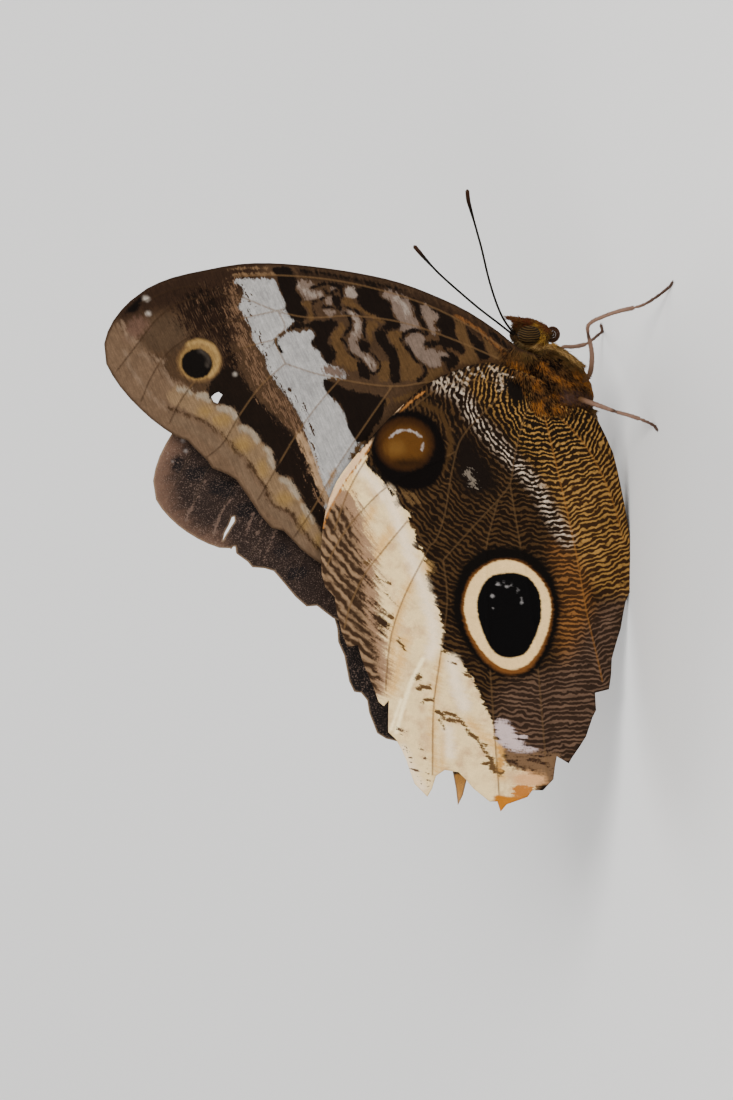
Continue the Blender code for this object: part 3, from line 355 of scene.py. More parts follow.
# Parts of the hindwing's underside in which the ripples have their own colours: name, softness and shapes
HINDWING_ZONES = (
    ("tan", 26, """
        area 500,366 560,385 600,410 628,470 640,560 632,600 600,590 575,560 560,510 532,465 505,425
        470,385"""),
    ("white", 14, """
        stroke 12 440,384 458,392 466,402 476,420 492,437 508,455 522,470 538,488 548,508 560,528
        568,540; stroke 6 495,372 502,385"""),
    ("rust", 24, """
        area 552,545 575,555 592,590 590,640 570,670 560,640 562,600 556,570"""),
    ("lilac", 30, """
        area 500,690 560,665 600,610 625,600 615,690 580,760 540,760 500,730"""),
)
HINDWING_LAYERS = (
    ("basal_black", "Black patch at the hindwing's base", (12, 7, 4), 6, 4, """
        area 506,372 515,370 523,376 526,388 524,400 515,402 508,395 505,384"""),
    ("dark_field", "Dark field behind the ochre ocellus", (17, 10, 6), 16, 6, """
        area 456,440 472,436 480,450 492,468 497,486 485,494 468,494 457,478"""),
    ("base_line", "Cream lines at the hindwing's costal base", (150, 132, 110), 1.8, 2.6, """
        stroke 1.6 435,381 442,385 446,391; stroke 1.2 443,377 446,384; stroke 1.6 447,378 452,384
        457,388; stroke 1.6 453,371 456,377 462,381 467,384; stroke 1.4 460,371 464,376 470,380;
        stroke 1.2 468,366 470,372 476,375; stroke 1.2 478,367 481,372 485,378; stroke 1.2 488,365
        492,368 497,371; stroke 1.4 500,374 501,382 503,388 498,391; stroke 1 497,372 510,376 518,378"""),
    ("grey_patch", "Grey specks in the dark field", (96, 86, 74), 1.4, 7, """
        area 465,471 470,470 475,478 477,485 470,485 466,479"""),
    ("band", "Cream of the hindwing's band", (222, 192, 138), 1.8, 4, """
        area 364,452 366,458 369,467 375,472 383.5,479 384,487 390,487 396,494 395.5,506 405.7,509.6
        410.8,514.7 408,523 414,530 414,540 412.5,549 421,549 426,560 427,585 434,600 440,616 442,640
        441,651 454,655 465,668 472,680 479,692 482,702 488,713 493,725 495,738 500,748 506,762 520,768
        531,775 537,790 524,808 500,832 430,812 380,760 325,640 310,560 318,500 345,462"""),
    ("band_ochre", "Ochre shade of the hindwing's band", (204, 160, 96), 12, 5, """
        stroke 7 352,474 348,486 352,496; stroke 9 396,526 384,540 374,560; stroke 8 372,540 364,528
        372,512; stroke 9 425,566 410,586 402,604 394,630 392,655 389,690; stroke 6 441,657 437,682
        434,710 433,740 436,772; stroke 9 470,722 482,735 494,744 500,760 500,775; stroke 10 405,640
        398,668 392,690; stroke 6 444,735 442,768"""),
    ("band_white", "Palest part of the hindwing's band", (232, 208, 172), 12, 4, """
        stroke 10 386,490 398,522 406,545 418,575 428,605 434,640 430,655; stroke 12 452,662 458,690
        464,705; stroke 9 360,470 372,480 384,498; stroke 8 448,730 450,755; stroke 7 402,748 411,768
        422,788"""),
    ("band_line", "Dark line along the band's upper edge", (18, 10, 5), 2.4, 3, """
        stroke 2.6 366,462 372,469 378,474 385,481 388,489 394,494"""),
    ("tan_stroke", "Tan strokes above the band", (84, 62, 36), 2.4, 3, """
        stroke 3.4 399,486 406,495 412.5,504.5; stroke 2.6 409,491 419,503; stroke 2 390,478 398,482"""),
    ("band_blotch", "Brown blotches in the band", (128, 98, 74), 5, 9, """
        area 339,494 346,490 353,495 354,506 347,511 340,505; stroke 3 352,512 360,524 366,540"""),
    ("outer_haze", "Pinkish brown between the outer ripples and the cream", (134, 104, 78), 12, 9, """
        area 322,497 334,489 348,492 359,504 367,526 374,552 378,575 380,602 384,625 388,650 391,672
        386,688 372,704 340,640 312,570 314,510"""),
    ("outer_ripple", "Brown ripples over the band's outer edge", (46, 31, 19), 10, 8, """
        area 318,500 338,505 349,514 356,531 361,552 365,575 365,600 369,622 375,645 379,668 377,690
        370,700 350,660 330,620 312,570 312,520"""),
    ("outer_smudge", "Darkest strokes among the outer ripples", (46, 31, 19), 9, 8, """
        stroke 3.4 352,562 362,574 374,584; stroke 3.4 356,590 366,600 376,606; stroke 3 346,578 352,592
        360,604; area 372,614 380,612 388,622 384,636 376,630; stroke 3 358,624 366,640 376,656;
        stroke 2.4 340,530 348,544"""),
    ("costal_streak", "Peach streak along the hindwing's front edge", (208, 168, 126), 2.4, 1.4, """
        area 404,404 390,418 376,435 361,451 346,470 333,492 325,514 321,530 327,513 336,496 345.5,479
        356,465 366,452 377,437 391,419.4"""),
    ("costal_tan", "Tan edge beside the streak", (140, 90, 42), 1.8, 1.6, """
        stroke 2.2 424,392 408,404 394,420 380,438; stroke 1.3 391,420 377,438 366.6,452.6 357,465.6
        346.5,479.6 337,496.6 328,513.6 323,528"""),
    # Painted highlight: light catching a crease near the hindwing's outer edge, painted into the cream
    ("fold", "Bright crease near the hindwing's outer edge", (250, 226, 172), 3.4, 1, """
        stroke 4 423,659 412,680 404,704 396,732; stroke 3 401,700 391,729"""),
    ("margin_mark", "Brown marks in the hindwing's band", (80, 58, 34), 2, 3.4, """
        stroke 4 437,712 444,717; stroke 4 446,712 455,716; stroke 4.6 449,719 461,721;
        stroke 2.4 439,721 445,728; disc 368,562 3.4,3; disc 391,617 3,2.6; disc 419,677 4,3.4;
        stroke 4.4 419,688 429,687; stroke 4.4 424,701 434,699; stroke 1.4 376,575 384,582 390,584;
        stroke 1.2 384,590 391,600 397,606; stroke 1.2 398,640 405,650; stroke 3.4 458,719 466,728
        476,739 484,750 492,760; stroke 6 492,768 501,772; stroke 3 478,742 486,746; stroke 3 484,764
        492,762; stroke 2.4 449,660 456,664; stroke 2.4 462,672 469,676"""),
    ("tail_speck", "Dark specks on the pale tail", (86, 66, 50), 1.6, 9, """
        stroke -1.4 404,745 412,762 421,784; stroke -3 420,742 426,764 428,786; stroke -2 398,730
        408,744"""),
    ("lilac_patch", "Whitish patch near the tail end", (176, 156, 152), 5, 6, """
        area 496,722 509,724 514,733 520,741 527,747 537,750 531,754 518,754 508,751 501,746 497,738;
        disc 523,737 3,1.2"""),
    ("tail_mottle", "Mottled brown near the tail end", (98, 74, 52), 6, 10, """
        area 504,750 515,753 530,753 545,755 557,756 556,778 547,783 538,777 528,772 514,769 506,762;
        stroke 3 542,781 536,790"""),
    ("tail_ochre", "Ochre streak near the tail end", (178, 128, 62), 5, 4, """
        stroke 5 500,748 501,758 500,768"""),
    ("tail_peach", "Peach patch near the tail end", (196, 146, 98), 9, 5, """
        area 518,773 532,772 544,775 545,781 536,788 522,788 514,782"""),
    ("dark_patch", "Dark patch near the tail end", (44, 29, 19), 3.4, 6, """
        stroke 2.6 508,762 516,764 525,769; stroke 2 530,759 540,762 550,769; stroke 2.4 532,770 542,775"""),
    ("orange_tip", "Orange of the tail end", (160, 96, 20), 5, 2, """
        area 497,795 508,797 517,796 531,793 536,800 520,812 500,820 494,806"""),
    ("tip_fleck", "Orange flecks above the tail end", (160, 98, 40), 3, 5, """
        area 512,789 524,786 535,787 531,795 516,797"""),
    ("ring_line", "Dark line outside the brown ring", (13, 8, 4), 2.4, 2.4, """
        stroke 2 426,396 446,408 455,426 457,446 450,470 440,486"""),
    ("brown_ring", "Brown ring beside the ochre ocellus", (56, 38, 18), 4, 3, """
        stroke 5 419,402 438,411 447,428 450,445 443,470"""),
    ("ocellus_black", "Black round the ochre ocellus", (6, 3, 2), 4.5, 1.6, """
        area 408,410 428,416 441,432 446,452 442,472 430,486 412,490 394,486 380,474 372,458 371,442
        377,428 390,415"""),
    ("ocellus_rim", "Dark ochre rim of the ocellus", (44, 24, 7), 6, 1.4, """
        disc 405,444 29,26.5"""),
    ("ocellus_disc", "Ochre disc of the ocellus", (75, 46, 14), 12, 1.6, """
        disc 405,445 22,19"""),
    ("ocellus_light", "Lighter middle of the ocellus", (92, 62, 25), 12, 2.4, """
        disc 396,448 9,7"""),
    ("ocellus_dusk", "Darker lower side of the ocellus", (30, 16, 4), 12, 2, """
        disc 408,463 14,4"""),
    ("highlight", "Pale arc on the ocellus", (140, 130, 122), 2.2, 1.6, """
        stroke 2 389.4,437.8 395.4,432.7 404,430 414,432 421,437; stroke 1.8 422.8,443 422,449.8"""),
    ("eyespot_surround", "Black round the large eyespot", (8, 5, 3), 6, 2.4, """
        area 505,546 481,551 463,567 454,590 452,610 458,632 470,652 486,668 507,677 529,675 545,661
        555,640 560,615 559,595 552,575 541,560 525,550"""),
    ("eyespot_rim", "Orange edge of the cream ring", (96, 58, 24), 5, 1.6, """
        area 503,559 486,564.5 470.5,577 463.6,595 462.2,612 467,631 477.6,651.5 491,666.5 510,675
        529,669.5 542.5,651 550.5,630.5 553,607 549,589 538,574 522,562"""),
    ("eyespot_cream", "Cream ring of the large eyespot", (216, 180, 122), 2.4, 1, """
        area 503,560 486,566 472.5,579 465.6,596 464.6,612 469.4,629.4 480,648 492,661.5 510,669.5
        527,665 540,649 548.5,629 551.5,607 547.5,590 537.5,575.5 522,563.5"""),
    ("eyespot_pupil", "Black pupil of the large eyespot", (4, 3, 3), 2.4, 0.8, """
        area 503,573 490,577 480,590 477,608 480,624 485,638 489,646 494,652 502,657 512,658.4 521,656.5
        528,651 537,633 541.5,618 541.5,602 537.5,588 528,577 516,573"""),
    ("fleck", "White flecks in the pupil", (120, 116, 114), 3, 2, """
        disc 498,584 2.2,1.3; disc 504,582.5 1,0.8; disc 507,587 1.3,0.9; disc 512,584 1.1,0.8;
        disc 492.5,596 1,1.3; disc 518,590.6 1,1; stroke 1.1 522,599 522,603; disc 493.4,608 0.8,0.8"""),
)

# Markings of the body's hair, alike on both sides
BODY_LAYERS = (
    ("hair_olive", "Olive-brown hair of the underside", (74, 55, 26), 8, 5, """
        area 544,344 566,344 584,354 596,372 604,392 606,412 590,410 588,392 576,374 560,364 548,356;
        area 514,340 540,343 548,352 534,360 520,356"""),
    ("hair_tan", "Pale tan hair along the belly side", (124, 88, 50), 4, 4, """
        stroke 6 574,356 584,364 591,376; stroke 2 586,384 596,396"""),
    ("hair_orange", "Orange hair patches", (150, 92, 36), 2.4, 4, """
        stroke 6 514,363 520,366 528,370; area 536,360 542,359 547,364 547,370 540,370 536,366;
        stroke 5 549,374 562,377 578,386; stroke 5 546,385 552,392 559,394; stroke 4 532,380 540,384;
        area 536,398 542,397 546,404 545,412 538,412 535,405; stroke 4 552,404 564,402; stroke 4 574,372
        586,380 592,390; stroke 4 520,382 527,392 532,400"""),
    ("hair_black", "Black hair spots", (5, 3, 2), 2, 3, """
        area 548,359.5 554,359 559,363 556,368 549,367; area 529,361 536,362 545,370 543,374 534,372
        529,367; area 543,378 549,378 553,384 551,390 544,389; stroke 4 560,371 570,377;
        stroke 3 533,357 546,357; stroke 3 556,388 568,389; stroke 3 552,398 566,396; disc 546,402
        3.4,3.4; disc 527,384 4,6; stroke 3 574,384 584,388; disc 516,384 6,10; stroke 3 530,394
        536,392; disc 531,360 4.6,4; disc 555,361 4.4,3.4; disc 548,382 5,4; disc 566,372 4.4,2.6;
        disc 540,368 4,2.6; stroke 2.4 560,392 574,394"""),
    ("hair_lilac", "Purplish hair over the hind leg's root", (80, 57, 48), 5, 4, """
        stroke 11 566,395 582,397 596,399"""),
    ("head_dark", "Brown of the head's hair", (58, 40, 20), 4, 4, """
        area 512,322 530,318 548,326 558,336 552,343 536,342 518,345 508,334"""),
    ("palp_brown", "Red-brown of the palps", (84, 42, 22), 2.5, 2.4, """
        stroke 5 508,317 514,320; stroke 4.4 516,321 530,321 540,324 550,330"""),
    ("palp_yellow", "Yellow stripe beside the eye", (170, 126, 52), 2.6, 3, """
        stroke 5 536,327 541,332 546,338; stroke 3 541,339 554,344"""),
    ("neck_pale", "Pale stripe behind the eye", (120, 98, 62), 2.4, 2.4, """
        stroke 1.8 519,343 528,343 538,341.5"""),
    ("foreleg_pale", "Pale yellow of the folded forelegs", (172, 134, 80), 2.2, 2.2, """
        stroke 2.6 537,343.6 552,347.6 566,354 579,362"""),
)

# Colours of the ground, the ripples and the veins
WING_TINTS = (
    ("fore_ground", "Brown between the forewing's markings", (56, 40, 26)),
    ("fore_base", "Brown streaked ground near the forewing's root", (58, 39, 22)),
    ("band_dusk", "Pinkish brown clouds in the hindwing's cream", (186, 148, 104)),
    ("ripple_dark", "Dark of the hindwing's ripples", (20, 11, 5)),
    ("ripple_light", "Light of the hindwing's ripples", (58, 40, 21)),
    ("ripple_tan", "Light of the ripples near the body", (132, 97, 48)),
    ("ripple_tan_dark", "Dark of the ripples near the body", (18, 11, 5)),
    ("ripple_white", "White crests across the hindwing", (176, 158, 138)),
    ("ripple_rust", "Light of the ripples behind the large eyespot", (108, 70, 34)),
    ("ripple_rust_dark", "Dark of the ripples behind the large eyespot", (48, 29, 13)),
    ("ripple_lilac", "Light of the ripples near the tail end", (82, 62, 48)),
    ("ripple_lilac_dark", "Dark of the ripples near the tail end", (38, 26, 18)),
    ("outer_light", "Gaps between the outer ripples", (124, 98, 72)),
    ("vein_brown", "Tan brown of the veins", (92, 68, 42)),
    # The veins' darker brown near the margin is partly their own colour, partly painted shade along the vein
    # ridges
    ("vein_dark", "Dark brown of the veins near the margin", (40, 26, 14)),
    ("vein_orange", "Orange-brown of the veins near the inner edge", (136, 88, 38)),
    ("upper_fore", "Purple-brown of the forewing's upper side", (32, 22, 17)),
    ("upper_speck", "Pale specks of the upper sides", (112, 92, 80)),
    ("upper_hind", "Blackish brown of the hindwing's upper side", (20, 15, 13)),
    ("upper_rim", "Pale rim of the upper sides", (120, 98, 76)),
)
BODY_TINTS = (
    ("hair_brown", "Brown of the thorax's hair", (78, 52, 26)),
    ("hair_dark", "Dark brown hair between the brown", (30, 18, 9)),
    ("abdomen", "Brown of the abdomen", (86, 64, 42)),
    ("abdomen_pale", "Tan of the abdomen's underside", (146, 118, 82)),
    ("eye_dark", "Dark brown of the eyes", (22, 14, 7)),
    ("eye_light", "Olive bands across the eyes", (72, 54, 28)),
    ("feeler", "Black-brown of the feelers", (14, 10, 7)),
    ("feeler_tip", "Brown of the feelers' ends", (46, 26, 14)),
    ("leg", "Pinkish tan of the legs", (118, 90, 74)),
    ("leg_dark", "Brown of the feet and joints", (54, 34, 24)),
    ("tongue", "Dark brown of the coiled tongue", (50, 29, 15)),
)

# Hair. For each kind of solid: depth of the coat over the skin, length and width of a tuft, tufts on a square
# millimetre and how far they stand up, as a share of their length
BODY_NODES = ("thorax", "abdomen", "head", "palp_right", "palp_left", "foreleg_right", "foreleg_left")
COATS = {
    "thorax": (0.00040, 0.0012, 0.00012, 42, 0.22),
    "abdomen": (0.00010, 0.0006, 0.00010, 7, 0.10),
    "head": (0.00022, 0.0011, 0.00010, 60, 0.42),
    "palp": (0.00016, 0.0008, 0.00009, 80, 0.32),
    "foreleg": (0.00012, 0.0010, 0.00011, 50, 0.28),
}
KINDS = list(COATS)
# The way it lies. On the thorax it runs back and down, away from the head
HAIR_LIES = {
    "abdomen": (-1, 0, -0.1), "head": (-0.6, 0, 0.9), "palp": (0.35, 0, 0.95), "foreleg": (-0.5, 0, -0.9),
}
THORAX_LIE = (-0.35, 0.0, -0.25)
# Hair that spreads over the roots of the wings: where, in the view, how wide its edge thins out, and as COATS
ROOT_HAIR = "500,346 507,370 518,384 526,398 533,412 552,416 577,412 570,380 545,352"
ROOT_HAIR_FADE = 12
ROOT_HAIR_COAT = (0.0015, 0.00012, 32, 0.16)
# A tuft has two three-sided rings, each with its place along the tuft and its size, and a tip. Then, for each
# of its seven points, how far along it lies and its UV place
TUFT_RINGS = ((-0.08, 1.0), (0.5, 0.8))
TUFT_TIPS = (0, 0, 0, 0.5, 0.5, 0.5, 1)
TUFT_FLAT = ((0, 0), (1, 0), (0.5, 0.2), (0, 0.6), (1, 0.6), (0.5, 0.7), (0.5, 1))
TUFT_PATCH = 0.003

# How strongly scales and hair mirror the light, and some measures
SCALE_GLOSS = 0.06
SQUARE_MILLIMETRES = 1e6
SAME_POINT = 1e-6
SMALLEST = 1e-9


def on_light(colour):
    """An 8-bit colour as the light that a shader takes."""
    return tuple((c / 255 / 12.92) if c <= 10 else ((c / 255 + 0.055) / 1.055) ** 2.4 for c in colour)


def tint(name, description, colour):
    return FloatVectorProperty(
        name=name, description=description, subtype="COLOR", size=3, min=0, max=1, default=on_light(colour)
    )


def coloured(*tables):
    """Gives a group of settings a colour for each row in some tables."""
    def add(group):
        for name, description, colour, *_ in (row for table in tables for row in table):
            group.__annotations__[name] = tint(name.replace("_", " ").capitalize(), description, colour)
        return group
    return add


@coloured(WING_TINTS, FOREWING_LAYERS, UPPER_FORE_LAYERS, HINDWING_LAYERS, UPPER_HIND_LAYERS)
class WingSettings(bpy.types.PropertyGroup):
    """Sizes and colours of the wings."""

    spacing: FloatProperty(
        name="Mesh spacing", description="Distance between the points of a wing's mesh",
        default=0.00029, min=0.0002, max=0.002, unit="LENGTH",
    )
    thickness: FloatProperty(
        name="Membrane", description="Thickness of a wing between its veins",
        default=0.00024, min=0.0001, max=0.0005, unit="LENGTH",
    )
    vein_raise: FloatProperty(
        name="Vein height", description="How far a vein stands out of the membrane",
        default=0.00014, min=0.0, max=0.0003, unit="LENGTH",
    )
    ripple: FloatProperty(
        name="Ripple spacing", description="Distance between two dark ripples of the hindwing",
        default=0.00086, min=0.0003, max=0.003, unit="LENGTH",
    )


@coloured(BODY_TINTS, BODY_LAYERS)
class BodySettings(bpy.types.PropertyGroup):
    """Sizes and colours of the body, its hair, eyes, feelers and legs."""

    voxel: FloatProperty(
        name="Skin detail", description="Size of the skin's faces", default=0.00017, min=0.0001, unit="LENGTH"
    )
    seed: IntProperty(name="Seed", description="Start of the random draw for the hair", default=7)
    density: FloatProperty(
        name="Hair density", description="Share of the full number of hairs", default=1, min=0.05
    )


class StageSettings(bpy.types.PropertyGroup):
    """Floor, light and camera."""

    distance: FloatProperty(
        name="Camera distance", description="From the camera to the butterfly", default=2.5, min=0.2,
        unit="LENGTH",
    )
    key: FloatProperty(name="Key light", description="Power of the key light, in watts", default=17, min=0)
    fill: FloatProperty(name="Fill light", description="Power of the fill light, in watts", default=5, min=0)
    back: FloatProperty(name="Back light", description="Power of the back light, in watts", default=9, min=0)
    sky: FloatProperty(
        name="Surrounding light", description="Strength of the light all round", default=0.7, min=0
    )
    floor: tint("Floor", "Colour of the floor", (226, 224, 220))


class Value:
    """A number in a material's nodes, on which Python's own operators work."""

    def __init__(self, finish, socket):
        self.finish = finish
        self.socket = socket

    def maths(self, operation, *others):
        inputs = dict(enumerate((self, *others)))
        return self.finish.number("ShaderNodeMath", {"operation": operation}, inputs)

    def __add__(self, other):
        return self.maths("ADD", other)

    def __sub__(self, other):
        return self.maths("SUBTRACT", other)

    def __rsub__(self, other):
        return (self * -1) + other

    def __mul__(self, other):
        return self.maths("MULTIPLY", other)

    def __truediv__(self, other):
        return self.maths("DIVIDE", other)

    __radd__ = __add__
    __rmul__ = __mul__

    def spread(self, low, high):
        """0 at low and 1 at high, with a soft start and end."""
        inputs = {"Value": self, "From Min": low, "From Max": high}
        return self.finish.number("ShaderNodeMapRange", {"interpolation_type": "SMOOTHSTEP"}, inputs)


class Finish:
    """A material under construction."""

    def __init__(self, name):
        self.material = bpy.data.materials.new(name)
        self.material.use_nodes = True
        self.nodes = self.material.node_tree.nodes
        self.links = self.material.node_tree.links
        self.shader = self.nodes["Principled BSDF"]

    def fill(self, socket, value):
        """Links a value to a socket, or sets it there."""
        value = value.socket if isinstance(value, Value) else value
        if isinstance(value, bpy.types.NodeSocket):
            self.links.new(value, socket)
        else:
            socket.default_value = value

    def node(self, kind, settings, inputs):
        """Adds a node of a type, sets it up and fills or links its sockets."""
        made = self.nodes.new(kind)
        for key, value in settings.items():
            setattr(made, key, value)
        for key, value in inputs.items():
            self.fill(made.inputs[key], value)
        return made

    def number(self, kind, settings, inputs, output=0):
        return Value(self, self.node(kind, settings, inputs).outputs[output])

    def attribute(self, name):
        return self.number("ShaderNodeAttribute", {"attribute_name": name}, {}, "Fac")

    def place(self):
        return self.node("ShaderNodeTexCoord", {}, {}).outputs["Object"]

    def axis(self, letter):
        return self.number("ShaderNodeSeparateXYZ", {}, {0: self.place()}, letter)

    def noise(self, per_metre, detail, roughness, place=None):
        """Cloudy noise between 0 and 1, with about so many clouds in a metre."""
        vector = self.place() if place is None else place
        inputs = {"Vector": vector, "Scale": per_metre, "Detail": detail, "Roughness": roughness}
        return self.number("ShaderNodeTexNoise", {}, inputs, "Fac")

    def streaks(self, over, along, detail, roughness):
        """Noise over two numbers that the surface carries, with about one cloud to each unit."""
        place = self.node("ShaderNodeCombineXYZ", {}, {"X": over, "Y": along}).outputs[0]
        return self.noise(1.0, detail, roughness, place)

    def mix(self, first, second, share):
        """Two colours mixed by a share of the second."""
        first, second = (
            colour if isinstance(colour, bpy.types.NodeSocket) else (*colour, 1) for colour in (first, second)
        )
        settings = {"data_type": "RGBA", "blend_type": "MIX", "clamp_factor": True}
        return self.node("ShaderNodeMix", settings, {0: share, 6: first, 7: second}).outputs[2]

    def shaded(self, colour, amount):
        """A colour made darker below an amount of 1 and lighter above it."""
        grey = self.node("ShaderNodeCombineXYZ", {}, {"X": amount, "Y": amount, "Z": amount}).outputs[0]
        return self.node("ShaderNodeVectorMath", {"operation": "MULTIPLY"}, {0: colour, 1: grey}).outputs[0]

    def bump(self, height, distance, strength):
        made = self.node("ShaderNodeBump", {}, {"Height": height, "Distance": distance, "Strength": strength})
        self.links.new(made.outputs["Normal"], self.shader.inputs["Normal"])

    def done(self, colour, roughness, gloss=0.5):
        inputs = {"Base Color": colour, "Roughness": roughness, "Specular IOR Level": gloss}
        for name, value in inputs.items():
            self.fill(self.shader.inputs[name], value)
        return self.material


def frame_shift():
    """Where the side view's middle lies in the frame, from the thorax, which is even about its axis."""
    low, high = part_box("thorax")
    middle = (low + high) / 2
    axis_down = (THORAX_AXIS[0][1] + THORAX_AXIS[1][1]) / 2
    return Vector((middle.x - (VIEW_MIDDLE - axis_down) * PIXEL, middle.y, 0))


SHIFT = frame_shift()


def points_of(text):
    """Places in the view, written as "across,down across,down"."""
    return tuple(tuple(float(number) for number in place.split(",")) for place in text.split())


def oval(middle, half_size, sides=16):
    turns = [2 * math.pi * k / sides for k in range(sides)]
    return [(middle[0] + half_size[0] * math.cos(t), middle[1] + half_size[1] * math.sin(t)) for t in turns]


def in_view(across, down, away=0.0):
    """The point at a place in the view that lies `away` metres from the middle plane, left positive."""
    screen = (VIEW_FLOOR - across) * PIXEL
    height = (screen - away * math.sin(VIEW_ELEVATION)) / math.cos(VIEW_ELEVATION)
    return Vector(((VIEW_MIDDLE - down) * PIXEL, away, height)) + SHIFT


def plane_of(places):
    """Places in the view as (x, height) on the middle plane."""
    places = np.asarray(places, float)
    height = (VIEW_FLOOR - places[:, 0]) * PIXEL / math.cos(VIEW_ELEVATION)
    return np.stack([(VIEW_MIDDLE - places[:, 1]) * PIXEL, height], axis=1)


def places_of(plane):
    """The reverse of plane_of."""
    across = VIEW_FLOOR - plane[:, 1] * math.cos(VIEW_ELEVATION) / PIXEL
    return np.stack([across, VIEW_MIDDLE - plane[:, 0] / PIXEL], axis=1)


def unit(vectors):
    """Vectors at a length of one."""
    return vectors / np.maximum(np.linalg.norm(vectors, axis=-1, keepdims=True), SMALLEST)


def smooth_line(points, step, closed=False):
    """The points, with more on a smooth curve between those that lie further apart than a step."""
    points = [np.asarray(point, float) for point in points]
    count = len(points)
    line = []
    for i in range(count if closed else count - 1):
        before = points[(i - 1) % count] if closed or i else points[0]
        start, end = points[i], points[(i + 1) % count]
        after = points[(i + 2) % count] if closed or i + 2 < count else end
        length = np.linalg.norm(end - start)
        lead = (end - before) * length / (np.linalg.norm(start - before) + length)
        trail = (after - start) * length / (np.linalg.norm(after - end) + length)
        pieces = max(1, round(length / step))
        for k in range(pieces):
            t = k / pieces
            line.append(
                start * (2 * t**3 - 3 * t**2 + 1) + lead * (t**3 - 2 * t**2 + t)
                + end * (3 * t**2 - 2 * t**3) + trail * (t**3 - t**2)
            )
    return np.array(line if closed else line + [points[-1]])


def closed_line(line):
    return np.vstack([line, line[:1]])


def distance_to_line(places, line):
    """Distance from each place to the nearest piece of a line."""
    nearest = np.full(len(places), np.inf)
    for start, end in zip(line, line[1:]):
        along = end - start
        share = np.clip((places - start) @ along / max(along @ along, 1e-12), 0, 1)
        nearest = np.minimum(nearest, np.linalg.norm(places - start - share[:, None] * along, axis=1))
    return nearest


def distance_to_veins(places, veins):
    """Distance from each place to the nearest of some veins, in metres."""
    lines = [smooth_line(points_of(vein), VEIN_STEP) for vein in veins]
    return np.min([distance_to_line(places, line) for line in lines], axis=0) * PIXEL


def inside(places, outline):
    """Which places lie inside a closed outline."""
    found = np.zeros(len(places), bool)
    for a, b in zip(outline, np.roll(outline, -1, axis=0)):
        if a[1] == b[1]:
            continue
        level = (a[1] > places[:, 1]) != (b[1] > places[:, 1])
        found ^= level & (places[:, 0] < a[0] + (places[:, 1] - a[1]) * (b[0] - a[0]) / (b[1] - a[1]))
    return found


def field(places, shapes, step=3, margin=25, furthest=60.0):
    """Signed distance to the nearest of some shapes, negative inside, in view pixels."""
    nearest = np.full(len(places), furthest)
    for shape in shapes.split(";"):
        kind, *words = shape.split()
        closed = kind != "stroke"
        width = 0 if closed else float(words.pop(0))
        points = points_of(" ".join(words))
        line = smooth_line(oval(*points) if kind == "disc" else points, step, closed)
        low, high = line.min(0) - margin - width, line.max(0) + margin + width
        near = np.flatnonzero(((places > low) & (places < high)).all(axis=1))
        if not len(near):
            continue
        away = distance_to_line(places[near], closed_line(line) if closed else line)
        if closed:
            away = np.where(inside(places[near], line), -away, away)
        nearest[near] = np.minimum(nearest[near], away - width / 2)
    return nearest


def carried(places, corners, new_corners):
    """Places moved as three corners move to new ones."""
    root, *ends = np.array(corners, float)
    new_root, *new_ends = np.array(new_corners, float)
    turn = np.linalg.solve(np.array(ends) - root, np.array(new_ends) - new_root)
    return (places - root) @ turn + new_root


def forewing_level(plane):
    """How far a forewing lies from the middle plane."""
    away = np.linalg.norm(plane - plane_of([VIEW_ROOT])[0], axis=1)
    near_root = (FOREWING_ROOT_LEVEL - FOREWING_LEVEL) * np.exp(-((away / ROOT_REACH) ** 2))
    return FOREWING_LEVEL + near_root + TIP_SPREAD * (away / FOREWING_LENGTH) ** 2


def hindwing_level(plane):
    """How far a hindwing lies from the middle plane: outside the forewing, and round the abdomen."""
    outer = forewing_level(plane) + WING_SPACING
    low = np.exp(-((np.maximum(plane[:, 1], 0) / INNER_EDGE_REACH) ** 2))
    level = outer + (INNER_EDGE_LEVEL - outer) * low
    first, last = plane_of(ABDOMEN_AXIS)
    share = (first[0] - plane[:, 0]) / (first[0] - last[0])
    inner = np.clip(share, 0, 1)
    past = np.maximum(0, np.maximum(-share, share - 1))
    radius = ABDOMEN_RADIUS * (1 - ABDOMEN_TAPER * inner**2) * np.exp(-((past / ABDOMEN_END) ** 2))
    bulge = np.maximum(0, radius + ABDOMEN_CLEARANCE - level)
    middle = first[1] + (last[1] - first[1]) * inner
    return level + bulge * np.exp(-(((plane[:, 1] - middle) / (1.5 * radius + ABDOMEN_FADE)) ** 2))


def wing_points(plane, level, side):
    """Points of a wing's middle surface."""
    away = side * level(plane)
    return np.stack([plane[:, 0], away, plane[:, 1] - away * math.tan(VIEW_ELEVATION)], axis=1)


def wing_normals(plane, level, side, small=0.0002):
    """The way out of a wing's middle surface."""
    here = wing_points(plane, level, side)
    across = wing_points(plane + (small, 0), level, side) - here
    up = wing_points(plane + (0, small), level, side) - here
    normals = unit(np.cross(across, up))
    return normals * np.sign(normals[:, 1] * side)[:, None]


def solid_shape(node):
    """A merged copy of a solid's mesh, for measuring."""
    shape = bmesh.new()
    shape.from_mesh(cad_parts[node].data)
    bmesh.ops.remove_doubles(shape, verts=shape.verts, dist=SAME_POINT)
    shape.normal_update()
    return shape


